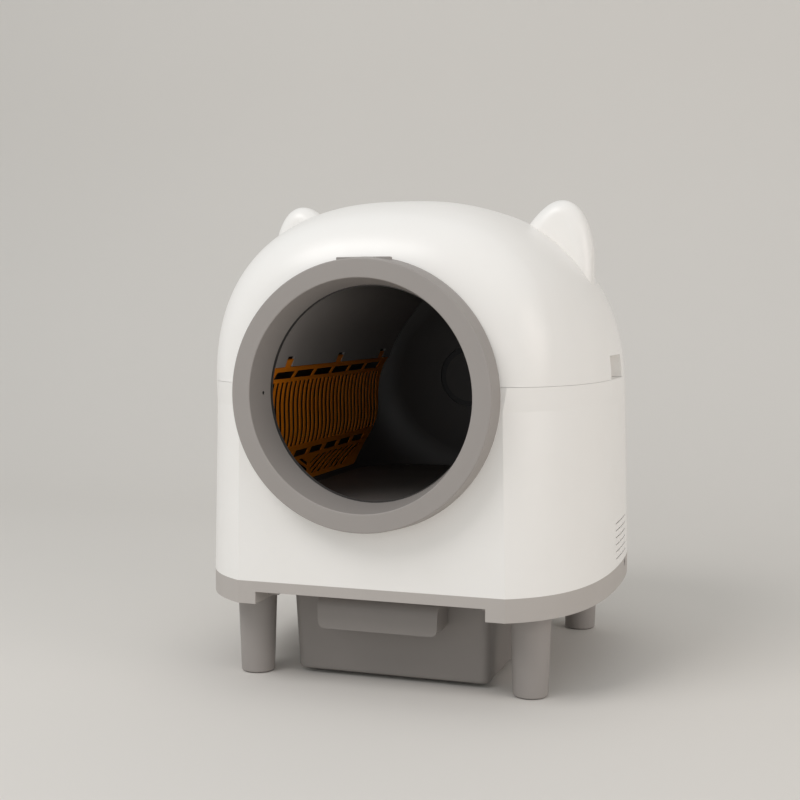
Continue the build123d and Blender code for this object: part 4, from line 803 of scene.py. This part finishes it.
chips = bmesh.new()
pins = bmesh.new()
for x, y, width, length, height, pin_count in CHIPS:
    low_corner = (x - width / 2, y - length / 2, CHIP_LIFT)
    block(chips, low_corner, (x + width / 2, y + length / 2, height), CHIP_EDGE)
    for i in range(pin_count):
        at = y - length / 2 + length * (i + 0.5) / pin_count
        for side in (-1, 1):
            inner, outer = sorted((x + side * width / 2, x + side * (width / 2 + PIN_REACH)))
            block(pins, (inner, at - PIN_HALF, 0), (outer, at + PIN_HALF, PIN_HEIGHT))
for y in RELAY_YS:
    low_corner = (RELAY_X[0], y - RELAY_HALF_LENGTH, SOLDER_LIFT)
    block(chips, low_corner, (RELAY_X[1], y + RELAY_HALF_LENGTH, RELAY_HEIGHT), RELAY_EDGE)
block(chips, DRIVER_LOW, DRIVER_HIGH, DRIVER_EDGE)
rows = random.Random(7)
for _ in range(RESISTORS):
    x = rows.uniform(*RESISTOR_XS)
    y = rows.choice(RESISTOR_ROWS)
    for mesh, (half_length, half_width, height) in ((pins, RESISTOR_ENDS), (chips, RESISTOR_BODY)):
        block(mesh, (x - half_length, y - half_width, 0), (x + half_length, y + half_width, height))
chips_data = finished_mesh("chips", turned(chips, board_place))
make_piece("board_chips", chips_data, epoxy, "base")
print("chips:", len(CHIPS), "relays:", len(RELAY_YS), "resistors:", RESISTORS)

# %% Capacitors
# each capacitor: x and y of its middle, radius and height
CAPACITORS = (
    (0.008, -0.034, 0.006, 0.016),
    (-0.022, 0.026, 0.004, 0.010),
    (-0.012, 0.038, 0.004, 0.010),
)
# a rolled groove near the foot holds the rubber plug
ROLLED_START = 0.0012
ROLLED_MIDDLE = 0.0017
ROLLED_STOP = 0.0022
ROLLED_DEPTH = 0.0004
CAPACITOR_EDGE = 0.0004
CAPACITOR_RIM = 0.0005
CAPACITOR_TOP_SHARE = 0.8
CAPACITOR_TOP_DROP = 0.0003

cans = bmesh.new()
for x, y, radius, height in CAPACITORS:
    can = bmesh.new()
    can_outline = [
        (0, SOLDER_LIFT),
        (radius, SOLDER_LIFT),
        (radius, ROLLED_START),
        (radius - ROLLED_DEPTH, ROLLED_MIDDLE),
        (radius, ROLLED_STOP),
        (radius, height - CAPACITOR_EDGE),
        (radius - CAPACITOR_RIM, height),
        (radius * CAPACITOR_TOP_SHARE, height - CAPACITOR_TOP_DROP),
        (0, height - CAPACITOR_TOP_DROP),
    ]
    lathe(can, can_outline, 32)
    absorb(cans, "can", turned(can, Matrix.Translation((x, y, 0))))
cans_data = finished_mesh("cans", turned(cans, board_place))
make_piece("board_capacitors", cans_data, foil, "base")
print("capacitors:", len(CAPACITORS))

# %% Sockets and pins
# each socket: x and y of its middle, and its number of ways
SOCKETS = ((-0.020, -0.038, 5), (-0.031, 0.036, 3), (0.033, 0.016, 4), (0.033, -0.020, 3))
WAY_PITCH = 0.0025
SOCKET_END = 0.001
SOCKET_HALF_WIDTH = 0.0028
SOCKET_WALL = 0.0007
SOCKET_HEIGHT = 0.0058
SOCKET_EDGE = 0.00012
SOCKET_FLOOR = 0.0012
# the floor stops this much inside the outer faces of the walls
FLOOR_INSET = 0.0002
CONTACT_HALF = 0.0003
CONTACT_LOW = 0.001
CONTACT_HIGH = 0.0048
CONTACT_EDGE = 0.0001

sockets = bmesh.new()
for x, y, ways in SOCKETS:
    half = ways * WAY_PITCH / 2 + SOCKET_END
    for wall_x in (-SOCKET_HALF_WIDTH, SOCKET_HALF_WIDTH - SOCKET_WALL):
        low_corner = (x + wall_x, y - half, SOLDER_LIFT)
        block(sockets, low_corner, (x + wall_x + SOCKET_WALL, y + half, SOCKET_HEIGHT), SOCKET_EDGE)
    for wall_y in (-half, half - SOCKET_WALL):
        low_corner = (x - SOCKET_HALF_WIDTH, y + wall_y, SOLDER_LIFT)
        high_corner = (x + SOCKET_HALF_WIDTH, y + wall_y + SOCKET_WALL, SOCKET_HEIGHT)
        block(sockets, low_corner, high_corner, SOCKET_EDGE)
    floor_x = SOCKET_HALF_WIDTH - FLOOR_INSET
    floor_y = half - FLOOR_INSET
    block(sockets, (x - floor_x, y - floor_y, SOLDER_LIFT), (x + floor_x, y + floor_y, SOCKET_FLOOR))
    for i in range(ways):
        at = y + (i - (ways - 1) / 2) * WAY_PITCH
        low_corner = (x - CONTACT_HALF, at - CONTACT_HALF, CONTACT_LOW)
        block(pins, low_corner, (x + CONTACT_HALF, at + CONTACT_HALF, CONTACT_HIGH), CONTACT_EDGE)
sockets_data = finished_mesh("sockets", turned(sockets, board_place))
make_piece("board_sockets", sockets_data, socket_nylon, "base")
pins_data = finished_mesh("pins", turned(pins, board_place))
make_piece("board_pins", pins_data, tin, "base")
print("board dressed")

# %% [markdown]
# ## Floor, backdrop and light
# A studio sweep, a floor that curves up into a wall, has no line behind the object. It is made as one
# strip of quads bent through a quarter circle. The light is a large soft lamp from the upper left of the
# front, a weak one from the front, a warmer one from the right and an even world light, so that colours
# come out about as they are written.

# %% Studio sweep
SWEEP_HALF_WIDTH = 6.0
SWEEP_FRONT_Y = -5.0
SWEEP_BACK_Y = 2.2
SWEEP_RADIUS = 1.2
SWEEP_HEIGHT = 4.5
SWEEP_STEPS = 12

profile = [(SWEEP_FRONT_Y, 0.0)]
for i in range(SWEEP_STEPS + 1):
    turn = math.radians(90 * i / SWEEP_STEPS)
    back = SWEEP_BACK_Y - SWEEP_RADIUS + SWEEP_RADIUS * math.sin(turn)
    profile.append((back, SWEEP_RADIUS - SWEEP_RADIUS * math.cos(turn)))
profile.append((SWEEP_BACK_Y, SWEEP_HEIGHT))
corners = [(x, y, z) for y, z in profile for x in (-SWEEP_HALF_WIDTH, SWEEP_HALF_WIDTH)]
strips = [(2 * i, 2 * i + 1, 2 * i + 3, 2 * i + 2) for i in range(len(profile) - 1)]
sweep_mesh = bpy.data.meshes.new("studio_sweep")
sweep_mesh.from_pydata(corners, [], strips)
sweep_mesh.polygons.foreach_set("use_smooth", [True] * len(strips))
sweep = bpy.data.objects.new("studio_sweep", sweep_mesh)
bpy.context.scene.collection.objects.link(sweep)
sweep_paint = moulded_plastic("matte_sweep_paint", "#DFDBD6", "#DCD8D3", 0.85, 1.45, 4.0, 0.01, 900.0)
sweep_mesh.materials.append(sweep_paint)
print("sweep strips:", len(strips))

# %% Lamps and world
# each lamp: its place, how wide it is, in metres, its watts and its tone
LAMPS = {
    "key_lamp": (Vector((-1.3, -2.1, 2.9)), 1.8, 46.0, "#FFFDFC"),
    "front_lamp": (Vector((-0.6, -3.6, 1.2)), 2.4, 5.0, "#FFFCFA"),
    "fill_lamp": (Vector((2.7, -0.8, 1.0)), 1.6, 16.0, "#FFF4EC"),
}
LIGHT_AIM = Vector((0.0, 0.0, 0.3))
WORLD_STRENGTH = 0.64
WORLD_TONE = "#EEF2F3"

for name, (place, size, watts, tone) in LAMPS.items():
    lamp_data = bpy.data.lights.new(name, "AREA")
    lamp_data.shape = "DISK"
    lamp_data.size = size
    lamp_data.energy = watts
    lamp_data.color = hex_colour(tone)[:3]
    lamp = bpy.data.objects.new(name, lamp_data)
    bpy.context.scene.collection.objects.link(lamp)
    lamp.location = place
    lamp.rotation_euler = (LIGHT_AIM - place).to_track_quat("-Z", "Y").to_euler()

world = bpy.data.worlds.new("even_world")
world.use_nodes = True
backdrop = world.node_tree.nodes["Background"]
backdrop.inputs["Color"].default_value = hex_colour(WORLD_TONE)
backdrop.inputs["Strength"].default_value = WORLD_STRENGTH
bpy.context.scene.world = world
bpy.context.scene.view_settings.view_transform = "Standard"
print("lamps:", len(LAMPS))
